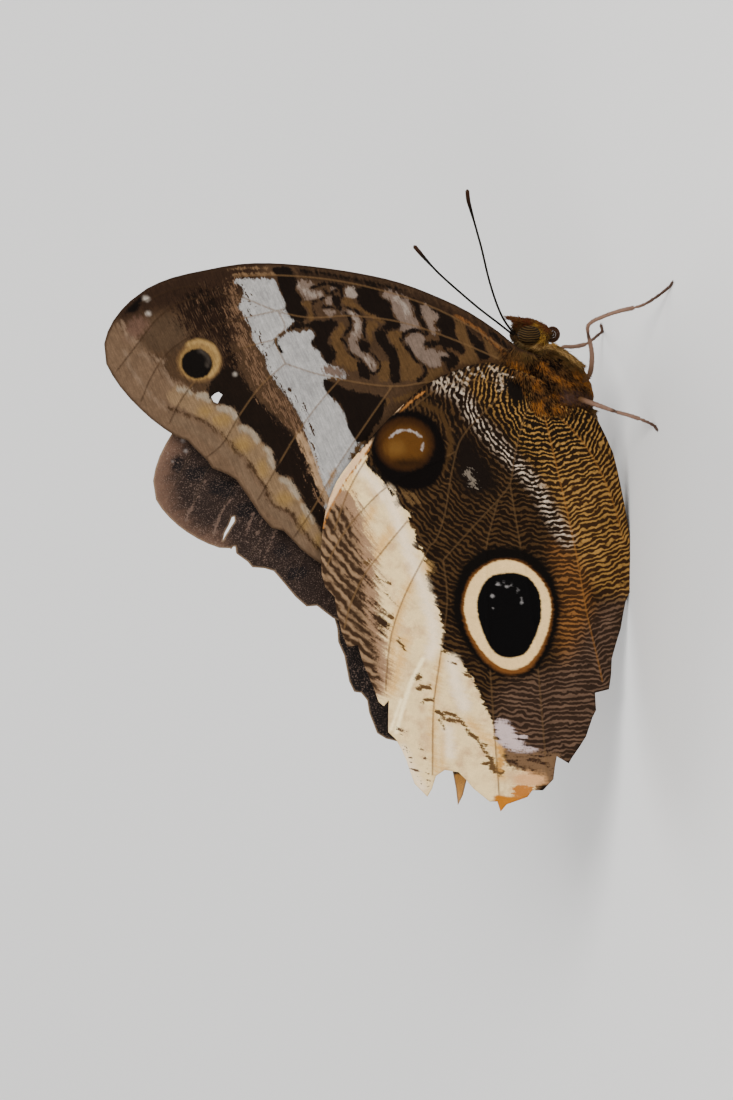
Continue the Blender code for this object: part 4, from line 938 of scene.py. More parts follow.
def solid_outline(node, side, flattest=0.3):
    """The edge of a wing's solid, as (x, height) on the middle plane."""
    shape = solid_shape(node)
    other = [face for face in shape.faces if face.normal.y * side < flattest]
    bmesh.ops.delete(shape, geom=other, context="FACES")
    loops = [edge.link_loops[0] for edge in shape.edges if len(edge.link_faces) == 1]
    after = {loop.vert: loop.link_loop_next.vert for loop in loops}
    best = []
    while after:
        here = next(iter(after))
        outline = []
        while here in after:
            point = here.co - SHIFT
            middle = point.y - side * MEMBRANE / 2
            outline.append((point.x, point.z + middle * math.tan(VIEW_ELEVATION)))
            here = after.pop(here)
        best = max(best, outline, key=len)
    shape.free()
    return np.array(best)


def wing_sheet(outline, tears, spacing):
    """(points, triangles) of a flat mesh inside an outline, without the tears."""
    loops = []
    for corners in (outline, *tears):
        loop = []
        for start, end in zip(corners, np.roll(corners, -1, axis=0)):
            pieces = max(1, round(np.linalg.norm(end - start) / spacing))
            loop += [start + (end - start) * k / pieces for k in range(pieces)]
        loops.append(np.array(loop))
    edge, *holes = loops
    low, high = edge.min(0), edge.max(0)
    rows = np.arange(low[1], high[1], spacing * 0.866)
    fill = np.array([
        (x, y)
        for i, y in enumerate(rows)
        for x in np.arange(low[0] + spacing / 2 * (i % 2), high[0], spacing)
    ])
    fill = fill[inside(fill, edge)]
    for corners in (outline, *tears):
        fill = fill[distance_to_line(fill, closed_line(corners)) > spacing * 0.55]
    links = []
    first = len(edge)
    for hole in holes:
        links += [(first + k, first + (k + 1) % len(hole)) for k in range(len(hole))]
        first += len(hole)
    millimetre = 1000
    flat_points, _, triangles, *_ = delaunay_2d_cdt(
        [Vector(point * millimetre) for point in np.vstack([*loops, fill])], links,
        [list(range(len(edge)))], 1, 1e-4,
    )
    flat_points = np.array([tuple(point) for point in flat_points]) / millimetre
    triangles = np.array([triangle for triangle in triangles if len(triangle) == 3])
    middles = flat_points[triangles].mean(axis=1)
    kept = inside(middles, edge)
    for hole in holes:
        kept &= ~inside(middles, hole)
    used, triangles = np.unique(triangles[kept], return_inverse=True)
    return flat_points[used], triangles.reshape(-1, 3)


def add_object(name, data):
    made = bpy.data.objects.new(name, data)
    bpy.context.scene.collection.objects.link(made)
    return made


def read(items, name, width, kind=np.float64):
    """A value of each vertex, corner or triangle of a mesh, as rows of an array."""
    values = np.empty(len(items) * width, kind)
    items.foreach_get(name, values)
    return values.reshape(-1, width)


def vertex_places(mesh):
    return read(mesh.vertices, "co", 3)


def keep_number(mesh, name, numbers):
    layer = mesh.attributes.new(name, "FLOAT", "POINT")
    layer.data.foreach_set("value", np.asarray(numbers, np.float32))


def closed_sheet(name, outer, inner, triangles, side, materials):
    """A wing's mesh: its underside outside, its upper side towards the other wing, and a rim."""
    count = len(outer)
    corners = outer[triangles]
    facing = np.cross(corners[:, 1] - corners[:, 0], corners[:, 2] - corners[:, 0])
    turned = facing[:, 1] * side < 0
    triangles[turned] = triangles[turned][:, ::-1]
    half_edges = {(int(t[i]), int(t[(i + 1) % 3])) for t in triangles for i in range(3)}
    rim = [(b, a, a + count, b + count) for a, b in sorted(half_edges) if (b, a) not in half_edges]
    faces = [*triangles.tolist(), *(triangles[:, ::-1] + count).tolist(), *rim]
    points = np.vstack([outer, inner]) + np.array(SHIFT)
    points[:, 2] = np.maximum(points[:, 2], 0)
    mesh = bpy.data.meshes.new(name)
    mesh.from_pydata(points.tolist(), [], faces)
    for material in materials:
        mesh.materials.append(material)
    upper = np.zeros(len(faces), np.int32)
    upper[len(triangles):2 * len(triangles)] = 1
    mesh.polygons.foreach_set("material_index", upper)
    mesh.polygons.foreach_set("use_smooth", np.ones(len(faces), bool))
    return mesh


def lay_out_wing(mesh, plane):
    """A UV map with the two sides of a wing side by side."""
    flat = (plane - plane.min(0)) / (plane.max(0) - plane.min(0)).max() * 0.48
    places = np.vstack([flat, flat + (0.51, 0.51)])
    layer = mesh.uv_layers.new(name="OFBake")
    corners = read(mesh.loops, "vertex_index", 1, np.int32).ravel()
    slots = read(mesh.polygons, "material_index", 1, np.int32).ravel()
    upper = np.repeat(slots, read(mesh.polygons, "loop_total", 1, np.int32).ravel())
    base = corners % len(plane)
    layer.data.foreach_set("uv", places[base + upper * len(plane)].astype(np.float32).ravel())


def make_wing(name, node, side, level, veins, corners, layers, upper_layers, zones, materials):
    """One wing: a thin curved sheet with raised veins that carries its markings as distances."""
    settings = bpy.context.scene.butterfly_wings
    outline = solid_outline(node, side)
    tears = [plane_of(points_of(text)) for text in TEARS.get(node, ())]
    plane, triangles = wing_sheet(outline, tears, settings.spacing)
    places = upper_places = places_of(plane)
    if side > 0:
        places = carried(places, *reversed(corners))
    else:
        upper_places = carried(places, *corners)
    vein_away = distance_to_veins(places, veins)
    edge_away = np.min([distance_to_line(plane, closed_line(line)) for line in (outline, *tears)], axis=0)
    ridge = settings.vein_raise * np.exp(-((vein_away / VEIN_WIDTH) ** 2))
    sink = -SINK * (1 - np.exp(-((vein_away / SINK_REACH) ** 2)))
    thinned = THIN_SHARE + (1 - THIN_SHARE) * np.clip(edge_away / THIN_EDGE, 0, 1)
    half = settings.thickness / 2 * thinned + ridge
    out = wing_normals(plane, level, side)
    middle = wing_points(plane, level, side) + out * sink[:, None]
    half = out * half[:, None]
    mesh = closed_sheet(name, middle + half, middle - half, triangles, side, materials)
    lay_out_wing(mesh, plane)
    from_root = places - np.array(VIEW_ROOT) - RIPPLE_ROOT
    numbers = {
        "vein": vein_away, "edge": edge_away, "across": places[:, 0], "down": places[:, 1],
        "root": np.linalg.norm(from_root, axis=1) * PIXEL,
        "arc": np.arctan2(from_root[:, 1], -from_root[:, 0]) * RIPPLE_RADIUS,
        "pull": np.minimum(distance_to_veins(places, veins[-PULLING_VEINS:]), PULL_REACH),
        "inner_vein": distance_to_veins(places, veins[-INNER_VEINS:]),
    }
    for i, layer in enumerate(layers):
        numbers[f"layer{i}"] = field(places, layer[-1])
    for i, layer in enumerate(upper_layers):
        numbers[f"upper{i}"] = field(upper_places, layer[-1])
    for zone, _, shapes in zones:
        numbers[f"zone_{zone}"] = field(places, shapes)
    for key, values in numbers.items():
        keep_number(mesh, key, np.tile(values, 2))
    piece = add_object(name, mesh)
    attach(piece, "root")
    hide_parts(node)
    return piece


def painted(finish, settings, colour, layers, rag, tooth, kind="layer", **paints):
    """Lays the markings over a ground colour, each with its own softness and raggedness."""
    rough = (rag - 0.5) * 1.6 + (tooth - 0.5) * 3
    for i, (name, _, _, soft, ragged, _) in enumerate(layers):
        share = 1 - (finish.attribute(f"{kind}{i}") + rough * ragged).spread(-soft / 2, soft / 2)
        colour = finish.mix(colour, paints.get(name, getattr(settings, name)), share)
    return colour


def outside(finish, layers, name, soft):
    """0 inside a marking and 1 outside it."""
    names = [layer[0] for layer in layers]
    return finish.attribute(f"layer{names.index(name)}").spread(-soft, soft)


def on_veins(finish, rag):
    """1 on a vein and 0 beside it, with a ragged edge."""
    return 1 - (finish.attribute("vein") + (rag - 0.5) * 0.0001).spread(0.00005, 0.00026)


def scaly(finish, colour):
    """Ends a finish with the fine dust of wing scales."""
    fine = finish.noise(5200, 3, 0.7)
    coarse = finish.noise(900, 3, 0.55)
    finish.bump(fine, 0.00004, 0.35)
    return finish.done(finish.shaded(colour, 0.58 + fine * 0.62 + coarse * 0.22), 0.85, SCALE_GLOSS)


def forewing_under(settings):
    finish = Finish("forewing underside scales")
    across, down = finish.attribute("across"), finish.attribute("down")
    root, edge = finish.attribute("root"), finish.attribute("edge")
    rag = finish.noise(3000, 3, 0.65)
    cloud = finish.noise(420, 3, 0.55)
    over, along = across * 0.91 - down * 0.42, across * 0.42 + down * 0.91
    tooth = finish.streaks(over / 3, along / 12, 2, 0.6)
    streak = finish.streaks(over / 1.8, along / 16, 3, 0.65)
    fine_streak = finish.streaks(over / 1.1, along / 11, 2, 0.6)
    ground = finish.mix(settings.fore_base, settings.fore_ground, (root + cloud * 0.01).spread(0.014, 0.034))
    brown = finish.mix(settings.upper_band, settings.tan_edge, fine_streak.spread(0.50, 0.74) * 0.7)
    tan = finish.mix(settings.tan_edge, settings.upper_band, fine_streak.spread(0.44, 0.62) * 0.85)
    colour = painted(
        finish, settings, ground, FOREWING_LAYERS, rag, tooth, upper_band=brown, tan_edge=tan
    )
    colour = finish.shaded(colour, 0.25 + streak * 1.1 + cloud * 0.4)
    margin = 1 - outside(finish, FOREWING_LAYERS, "fore_margin", 3)
    apex = (across * -1).spread(-252, -232) * (down * -1).spread(-378, -356)
    # Darker veins in the margin and the apex: partly their own dark brown, partly painted shade along the
    # veins
    vein_paint = finish.mix(settings.vein_brown, settings.vein_dark, margin.maths("MAXIMUM", apex))
    vein_share = on_veins(finish, rag) * outside(finish, FOREWING_LAYERS, "eyespot_shade", 2) * 0.55
    colour = finish.mix(colour, vein_paint, vein_share)
    front = (300 - down + (across - 106) * 0.16).spread(-60, 0)
    costa = 1 - (edge + cloud * 0.0002).spread(0.0003, 0.0006)
    colour = finish.mix(colour, settings.apex_brown, costa * front * 0.8)
    outer = 1 - (edge + cloud * 0.0003).spread(0.0003, 0.0007)
    colour = finish.mix(colour, settings.vein_dark, outer * margin * 0.55)
    return scaly(finish, finish.shaded(colour, 0.72 + finish.noise(1500, 3, 0.65) * 0.56))


def hindwing_under(settings):
    finish = Finish("hindwing underside scales")
    root, arc, pull = finish.attribute("root"), finish.attribute("arc"), finish.attribute("pull")
    rag = finish.noise(2600, 3, 0.65)
    cloud = finish.noise(420, 3, 0.55)
    tooth = finish.streaks(root / 0.0006, arc / 0.0035, 2, 0.6)
    broken = finish.streaks(root / 0.0009, arc / 0.0022, 2, 0.55)
    turns = (root + pull * 0.4) * (2 * math.pi / settings.ripple)
    turns = turns + (finish.noise(170, 1, 0.5) - 0.5) * 14 + (finish.noise(620, 2, 0.5) - 0.5) * 11
    far = root.spread(0.006, 0.022)
    crest = (turns.maths("SINE") + (broken - 0.5) * 4 + far * 0.3).spread(0.1, 1.25)
    wide = ((turns * 0.62).maths("SINE") + (broken - 0.5) * 4).spread(-0.9, 1.4)
    tan_dark = finish.mix(settings.ripple_tan_dark, settings.ripple_rust_dark, far * 0.75)
    paints = {
        "tan": (settings.ripple_tan, tan_dark),
        "rust": (settings.ripple_rust, settings.ripple_rust_dark),
        "lilac": (settings.ripple_lilac, settings.ripple_lilac_dark),
    }
    zones = {}
    for name, soft, _ in HINDWING_ZONES:
        zones[name] = 1 - finish.attribute(f"zone_{name}").spread(-soft / 2, soft / 2)
    light, dark = settings.ripple_light, settings.ripple_dark
    for name, (lit, unlit) in paints.items():
        light, dark = finish.mix(light, lit, zones[name]), finish.mix(dark, unlit, zones[name])
    light = finish.mix(light, settings.ripple_white, zones["white"] * broken.spread(0.28, 0.62))
    ground = finish.shaded(finish.mix(dark, light, crest), 0.5 + cloud * 0.5 + tooth * 0.5)
    outer_paint = finish.mix(settings.outer_ripple, settings.outer_light, wide)
    dusk = finish.noise(330, 4, 0.6).spread(0.46, 0.68)
    band_paint = finish.mix(settings.band, settings.band_dusk, dusk * 0.8)
    colour = painted(
        finish, settings, ground, HINDWING_LAYERS, rag, tooth, outer_ripple=outer_paint, band=band_paint
    )
    colour = finish.shaded(colour, 0.82 + cloud * 0.2 + tooth * 0.16)
    pale, ocellus, eyespot = (
        outside(finish, HINDWING_LAYERS, name, 1.5) for name in ("band", "ocellus_black", "eyespot_surround")
    )
    inner = 1 - finish.attribute("inner_vein").spread(0.0001, 0.0003)
    vein_paint = finish.mix(settings.vein_brown, settings.vein_orange, inner)
    vein_share = on_veins(finish, rag) * ocellus * eyespot * (0.75 - pale * 0.4)
    return scaly(finish, finish.mix(colour, vein_paint, vein_share))


def wing_upper(name, settings, ground, layers, specks, rim_width=0.0004):
    """Upper side of a wing, which shows only where one wing stands out behind the other."""
    finish = Finish(name)
    root, arc = finish.attribute("root"), finish.attribute("arc")
    rag = finish.noise(3000, 3, 0.65)
    cloud = finish.noise(420, 4, 0.6)
    speck = finish.noise(5200, 2, 0.6)
    streak = finish.streaks(arc / 0.0009, root / 0.006, 3, 0.65)
    colour = painted(finish, settings, ground, layers, rag, streak, "upper")
    colour = finish.shaded(colour, 0.35 + cloud * 0.5 + streak * 0.8)
    colour = finish.mix(colour, settings.upper_speck, (speck + streak * 0.2).spread(0.66, 0.78) * specks)
    beside_vein = finish.attribute("vein").spread(0.00004, 0.0002)
    colour = finish.mix(colour, settings.upper_rim, (1 - beside_vein) * 0.10)
    rim = 1 - (finish.attribute("edge") + (rag - 0.5) * rim_width).spread(rim_width * 0.2, rim_width)
    colour = finish.mix(colour, settings.upper_rim, rim * 0.7)
    finish.bump(speck, 0.00005, 0.4)
    return finish.done(colour, 0.78, 0.12)


class BUTTERFLY_OT_forewings(bpy.types.Operator):
    """Make both forewings"""

    bl_idname = "butterfly.forewings"
    bl_label = "Forewings"

    def execute(self, context):
        settings = context.scene.butterfly_wings
        under = forewing_under(settings)
        upper = wing_upper("forewing upper side", settings, settings.upper_fore, UPPER_FORE_LAYERS, 0.6)
        for side, word in ((-1, "right"), (1, "left")):
            piece = make_wing(
                f"wing_fore_{word}", f"forewing_{word}", side, forewing_level, FOREWING_VEINS,
                (FOREWING_CORNERS, LEFT_FOREWING_CORNERS), FOREWING_LAYERS, UPPER_FORE_LAYERS, (),
                (under, upper),
            )
        return {"FINISHED"}


class BUTTERFLY_OT_hindwings(bpy.types.Operator):
    """Make both hindwings"""

    bl_idname = "butterfly.hindwings"
    bl_label = "Hindwings"

    def execute(self, context):
        settings = context.scene.butterfly_wings
        under = hindwing_under(settings)
        upper = wing_upper("hindwing upper side", settings, settings.upper_hind, UPPER_HIND_LAYERS, 0.8)
        for side, word in ((-1, "right"), (1, "left")):
            piece = make_wing(
                f"wing_hind_{word}", f"hindwing_{word}", side, hindwing_level, HINDWING_VEINS,
                (HINDWING_CORNERS, LEFT_HINDWING_CORNERS), HINDWING_LAYERS, UPPER_HIND_LAYERS, HINDWING_ZONES,
                (under, upper),
            )
        return {"FINISHED"}


def select_only(*pieces):
    bpy.ops.object.select_all(action="DESELECT")
    for piece in pieces:
        piece.select_set(True)
    bpy.context.view_layer.objects.active = pieces[0]


def apply_modifier(piece, kind, **settings):
    select_only(piece)
    modifier = piece.modifiers.new(kind, kind)
    for key, value in settings.items():
        setattr(modifier, key, value)
    bpy.ops.object.modifier_apply(modifier=modifier.name)


def join(*pieces):
    select_only(*pieces)
    bpy.ops.object.join()
    return pieces[0]


def unwrap(piece):
    """Gives a piece a UV map of its own shape."""
    piece.data.uv_layers.new(name="OFBake")
    select_only(piece)
    bpy.ops.object.mode_set(mode="EDIT")
    bpy.ops.mesh.select_all(action="SELECT")
    bpy.ops.uv.smart_project(angle_limit=math.radians(70), island_margin=0.004)
    bpy.ops.object.mode_set(mode="OBJECT")


def tube(name, path, radii, sides):
    """A round tube along a line, as a bevelled curve turned into a mesh."""
    bevel = 0.001
    bpy.ops.object.select_all(action="DESELECT")
    bpy.ops.curve.primitive_nurbs_path_add()
    drawn = bpy.context.object
    drawn.location = (0, 0, 0)
    curve = drawn.data
    curve.splines.clear()
    spline = curve.splines.new("POLY")
    spline.points.add(len(path) - 1)
    for point, place, radius in zip(spline.points, path, radii):
        point.co = (*place, 1)
        point.radius = radius / bevel
    curve.bevel_depth = bevel
    curve.bevel_resolution = (sides - 4) // 2
    curve.use_fill_caps = True
    bpy.ops.object.convert(target="MESH")
    drawn = bpy.context.object
    drawn.name = name
    drawn.data.name = name
    bpy.ops.object.shade_smooth()
    return drawn


def rest_on_floor(piece):
    for vertex in piece.data.vertices:
        vertex.co.z = max(vertex.co.z, 0)


def limb_line(text, side, step):
    """A smooth line through places of a limb, each with its distance from the middle plane."""
    return smooth_line([in_view(across, down, side * away) for across, down, away in points_of(text)], step)


def shares_of(path):
    """How far along a line each of its points lies, from 0 to 1."""
    lengths = np.concatenate([[0], np.cumsum(np.linalg.norm(np.diff(path, axis=0), axis=1))])
    return lengths / lengths[-1]


def nearest_on(path, points):
    """For each point, the number of the line's nearest point."""
    return np.array([int(np.argmin(((path - point) ** 2).sum(axis=1))) for point in points])


def laid_flat(lie, normals):
    """Ways along a skin, from ways that may point out of it."""
    return unit(lie - normals * (lie * normals).sum(axis=1)[:, None])


def nearest_kind(points):
    """For each point, the kind of the body's solid that it lies nearest to."""
    best = np.full(len(points), np.inf)
    kinds = np.zeros(len(points), int)
    for node in BODY_NODES:
        shape = solid_shape(node)
        tree = BVHTree.FromBMesh(shape)
        shape.free()
        away = np.array([tree.find_nearest(Vector(point))[3] for point in points])
        nearer = away < best
        best[nearer] = away[nearer]
        kinds[nearer] = KINDS.index(node.split("_")[0])
    return kinds


def body_skin(settings, grown=0.0002):
    """One skin over the body's solids, sunk into them by the depth of the coat."""
    copies = []
    for node in BODY_NODES:
        mesh = bpy.data.meshes.new(node)
        shape = solid_shape(node)
        for vertex in shape.verts:
            vertex.co += vertex.normal * grown
        shape.to_mesh(mesh)
        shape.free()
        copies.append(add_object(node, mesh))
    bpy.ops.mesh.primitive_uv_sphere_add(radius=CHEEK_RADIUS, location=in_view(*CHEEK))
    copies.append(bpy.context.object)
    skin = join(*copies)
    skin.name = "body_skin"
    skin.data.name = "body_skin"
    skin.data.materials.clear()
    apply_modifier(skin, "REMESH", mode="VOXEL", voxel_size=settings.voxel)
    apply_modifier(skin, "SMOOTH", factor=0.5, iterations=8)
    coat_depths = np.array([coat[0] for coat in COATS.values()])
    depths = coat_depths[nearest_kind(vertex_places(skin.data))] + grown
    deepest = depths.max()
    group = skin.vertex_groups.new(name="coat depth")
    for depth in np.unique(depths):
        group.add(np.flatnonzero(depths == depth).tolist(), float(depth / deepest), "REPLACE")
    apply_modifier(
        skin, "DISPLACE", direction="NORMAL", mid_level=0, strength=-deepest, vertex_group="coat depth"
    )
    apply_modifier(skin, "SMOOTH", factor=0.5, iterations=4)
    skin.vertex_groups.clear()
    select_only(skin)
    bpy.ops.object.shade_smooth()
    rest_on_floor(skin)
    return skin


def lie_of_coat(points, normals, kinds):
    """The way the hair lies at each point: backwards and down on the thorax, along the other parts."""
    away = points - np.array(in_view(*HEAD_MIDDLE))
    away[:, 1] *= 0.2
    lie = np.tile(THORAX_LIE, (len(points), 1)) + unit(away) * 0.9
    for kind, way in HAIR_LIES.items():
        lie[kinds == KINDS.index(kind)] = way
    return laid_flat(lie, normals)


def grow_tufts(name, roots, normals, lie, length, width, rise, root_uv, draw):
    """Hair as closed three-sided locks that lie along the skin, each a tiny patch on the skin's UV map."""
    count = len(roots)
    turn = draw.normal(0, 0.30, count)[:, None]
    lie = lie * np.cos(turn) + np.cross(normals, lie) * np.sin(turn)
    across = np.cross(normals, lie)
    length = length * draw.uniform(0.7, 1.3, count)
    width = width * draw.uniform(0.75, 1.25, count)
    rise = rise * draw.uniform(0.5, 1.5, count)

    def middle_at(share):
        lift = rise * length * (share - 0.45 * max(share, 0) ** 2) - width * 0.3 * (1 - share)
        return roots + lie * (length * share)[:, None] + normals * lift[:, None]

    points = []
    for share, size in TUFT_RINGS:
        middle = middle_at(share)
        half = (width * size / 2)[:, None]
        points += [middle - across * half, middle + across * half, middle + normals * half]
    points = np.stack([*points, middle_at(1)], axis=1).reshape(-1, 3)
    points[:, 2] = np.maximum(points[:, 2], 0)
    faces = [(0, 2, 1)]
    faces += [(k, (k + 1) % 3, 3 + (k + 1) % 3, 3 + k) for k in range(3)]
    faces += [(3 + k, 3 + (k + 1) % 3, 6) for k in range(3)]
    corners = np.array([corner for face in faces for corner in face])
    first_corners = np.cumsum([0] + [len(face) for face in faces[:-1]])
    mesh = bpy.data.meshes.new(name)
    mesh.vertices.add(len(points))
    mesh.vertices.foreach_set("co", points.ravel())
    mesh.loops.add(len(corners) * count)
    mesh.polygons.add(len(faces) * count)
    tufts = np.arange(count)[:, None]
    vertex_numbers = (tufts * len(TUFT_TIPS) + corners).ravel().astype(np.int32)
    mesh.loops.foreach_set("vertex_index", vertex_numbers)
    mesh.polygons.foreach_set("loop_start", (tufts * len(corners) + first_corners).ravel().astype(np.int32))
    mesh.update(calc_edges=True)
    patch = np.array(TUFT_FLAT)[corners] * TUFT_PATCH
    layer = mesh.uv_layers.new(name="OFBake")
    layer.data.foreach_set("uv", (root_uv[:, None] + patch).ravel().astype(np.float32))
    made = add_object(name, mesh)
    select_only(made)
    bpy.ops.object.shade_smooth()
    keep_number(mesh, "tip", np.tile(TUFT_TIPS, count))
    keep_number(mesh, "tone", np.repeat(draw.uniform(0, 1, count), len(TUFT_TIPS)))
    return made


def scattered(piece, density, draw):
    """Random points on a piece, by so many a square millimetre: (points, normals, UV places)."""
    mesh = piece.data
    mesh.calc_loop_triangles()
    corners = read(mesh.loop_triangles, "vertices", 3, np.int32)
    loops = read(mesh.loop_triangles, "loops", 3, np.int32)
    uv = read(mesh.uv_layers["OFBake"].data, "uv", 2, np.float32)
    corner_normals = read(mesh.vertices, "normal", 3, np.float32)
    places = vertex_places(mesh)[corners]
    facing = np.cross(places[:, 1] - places[:, 0], places[:, 2] - places[:, 0])
    size = np.linalg.norm(facing, axis=1) / 2 * SQUARE_MILLIMETRES
    wanted = size * (density(places.mean(axis=1)) if callable(density) else density)
    chosen = draw.choice(len(corners), int(wanted.sum()), p=wanted / wanted.sum())
    a, b = draw.uniform(0, 1, (2, len(chosen)))
    flip = a + b > 1
    a[flip], b[flip] = 1 - a[flip], 1 - b[flip]
    weights = np.stack([1 - a - b, a, b], axis=1)[:, :, None]
    normals = unit((corner_normals[corners[chosen]] * weights).sum(axis=1))
    return (places[chosen] * weights).sum(axis=1), normals, (uv[loops[chosen]] * weights).sum(axis=1)


def keep_body_marks(mesh, points, repeat=1):
    """Stores the body's markings at some points, each for a run of the mesh's vertices."""
    off = np.asarray(points) - np.array(SHIFT)
    screen = off[:, 2] * math.cos(VIEW_ELEVATION) - np.abs(off[:, 1]) * math.sin(VIEW_ELEVATION)
    places = np.stack([VIEW_FLOOR - screen / PIXEL, VIEW_MIDDLE - off[:, 0] / PIXEL], axis=1)
    for i, layer in enumerate(BODY_LAYERS):
        keep_number(mesh, f"layer{i}", np.repeat(field(places, layer[-1]), repeat))
    keep_number(mesh, "abdomen", np.repeat(nearest_kind(points) == KINDS.index("abdomen"), repeat))


def root_hair(draw):
    """Places, normals and UV places for the hair on the wings' roots, found by looking in from each side."""
    edge = points_of(ROOT_HAIR)
    low, high = plane_of(edge).min(0), plane_of(edge).max(0)
    edge = smooth_line(edge, 4, True)
    number = int(ROOT_HAIR_COAT[2] * SQUARE_MILLIMETRES * np.prod(high - low))
    found = []
    for side, word in ((-1, "right"), (1, "left")):
        trees = []
        for name in (f"wing_fore_{word}", f"wing_hind_{word}", "body_skin"):
            shape = bmesh.new()
            shape.from_mesh(bpy.data.objects[name].data)
            trees.append(BVHTree.FromBMesh(shape))
            shape.free()
        plane = draw.uniform(low, high, (number, 2))
        places = places_of(plane)
        within = distance_to_line(places, closed_line(edge)) * inside(places, edge)
        plane = plane[draw.uniform(0, 1, len(plane)) < within / ROOT_HAIR_FADE]
        outwards = Vector((0, side, -side * math.tan(VIEW_ELEVATION)))
        for x, height in plane:
            start = Vector((x, 0, height)) + SHIFT + outwards
            hits = [tree.ray_cast(start, -outwards.normalized()) for tree in trees]
            reach = [math.inf if hit[3] is None else hit[3] for hit in hits]
            nearest = int(np.argmin(reach))
            if nearest < 2 and reach[nearest] < math.inf:
                found.append((*hits[nearest][0], *hits[nearest][1], x, height))
    found = np.array(found)
    return found[:, :3], found[:, 3:6], (found[:, 6:] - low) / (high - low).max()


def body_finish(settings, name, grain):
    finish = Finish(name)
    tone, tip = finish.attribute("tone"), finish.attribute("tip")
    cloud = finish.noise(1100, 3, 0.6)
    rag = finish.noise(2600, 2, 0.6)
    light = (cloud + (tone - 0.5) * 0.25).spread(0.38, 0.60)
    ground = finish.mix(settings.hair_dark, settings.hair_brown, light)
    below = 1 - (finish.axis("Z") + cloud * 0.002).spread(0.005, 0.009)
    belly = finish.mix(settings.abdomen, settings.abdomen_pale, below)
    colour = painted(finish, settings, ground, BODY_LAYERS, rag, tone)
    colour = finish.mix(colour, belly, finish.attribute("abdomen"))
    # Random tone per tuft, and darker towards each tuft's root and lighter at its tip: painted shade deep in
    # the coat
    colour = finish.shaded(colour, 0.25 + tone * 0.95 + tip * 0.5)
    finish.bump(finish.noise(7000, 2, 0.6), grain, 0.5)
    return finish.done(colour, 0.75, SCALE_GLOSS)


class BUTTERFLY_OT_body(bpy.types.Operator):
    """Make the skin of the body, head, palps and forelegs, and the coat of hair on it"""

    bl_idname = "butterfly.body"
    bl_label = "Body and hair"

    def execute(self, context):
        settings = context.scene.butterfly_body
        draw = np.random.default_rng(settings.seed)
        skin = body_skin(settings)
        unwrap(skin)
        places = vertex_places(skin.data)
        keep_body_marks(skin.data, places)
        # A low tip and tone make the finish darken the skin: painted shade beneath the coat of hair
        keep_number(skin.data, "tip", np.full(len(places), 0.2))
        keep_number(skin.data, "tone", np.full(len(places), 0.25))
        skin.data.materials.append(body_finish(settings, "body skin", 0.0001))
        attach(skin, "root")
        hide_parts(*BODY_NODES)

        coats = np.array(list(COATS.values()))
        spots = scattered(skin, lambda middles: coats[nearest_kind(middles), 3] * settings.density, draw)
        kinds = nearest_kind(spots[0])
        on_wings = root_hair(draw)
        like_thorax = np.full(len(on_wings[0]), KINDS.index("thorax"))
        on_thorax = kinds == KINDS.index("thorax")
        groups = [
            (name, [part[chosen] for part in spots], kinds[chosen], coats[kinds[chosen]].T)
            for name, chosen in (("coat_thorax", on_thorax), ("coat_rest", ~on_thorax))
        ]
        groups.append(("coat_roots", on_wings, like_thorax, (0, *ROOT_HAIR_COAT)))
        finish = body_finish(settings, "body coat", 0.00003)
        for name, (roots, normals, flat), their_kinds, (_, length, width, _, rise) in groups:
            lie = lie_of_coat(roots, normals, their_kinds)
            coat = grow_tufts(name, roots, normals, lie, length, width, rise, flat, draw)
            keep_body_marks(coat.data, roots, len(TUFT_TIPS))
            coat.data.materials.append(finish)
            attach(coat, "root")
            "head_hair" if name == "coat_rest" else "thorax_hair"
        return {"FINISHED"}


class BUTTERFLY_OT_eyes(bpy.types.Operator):
    """Make both eyes"""

    bl_idname = "butterfly.eyes"
    bl_label = "Eyes"

    def execute(self, context):
        settings = context.scene.butterfly_body
        low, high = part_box("eye_right")
        band_width = 0.00042
        bands_middle = high.x + 0.003
        finish = Finish("eye")
        forward = finish.axis("X") - bands_middle
        height = finish.axis("Z") - (low.z + high.z) / 2
        away = (forward * forward + height * height).maths("POWER", 0.5)
        wobble = finish.noise(700, 2, 0.5)
        band = (away * (2 * math.pi / band_width) + wobble * 7).maths("SINE").spread(-0.1, 0.9)
        colour = finish.mix(settings.eye_dark, settings.eye_light, band * 0.8)
        colour = finish.shaded(colour, 0.7 + finish.noise(2600, 2, 0.6) * 0.6)
        facets = {"Vector": finish.place(), "Scale": 14000.0}
        facet = finish.number("ShaderNodeTexVoronoi", {"feature": "F1"}, facets, "Distance")
        finish.bump(facet, 0.00002, 0.5)
        material = finish.done(colour, 0.6, 0.03)
        for word in ("right", "left"):
            low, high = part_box(f"eye_{word}")
            bpy.ops.object.select_all(action="DESELECT")
            bpy.ops.mesh.primitive_uv_sphere_add(
                segments=48, ring_count=24, radius=1, location=(low + high) / 2
            )
            eye = context.object
            eye.name = f"eyeball_{word}"
            eye.scale = (high - low) / 2
            bpy.ops.object.transform_apply(location=True, rotation=True, scale=True)
            bpy.ops.object.shade_smooth()
            eye.data.materials.append(material)
            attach(eye, "root")
            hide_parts(f"eye_{word}")
        return {"FINISHED"}


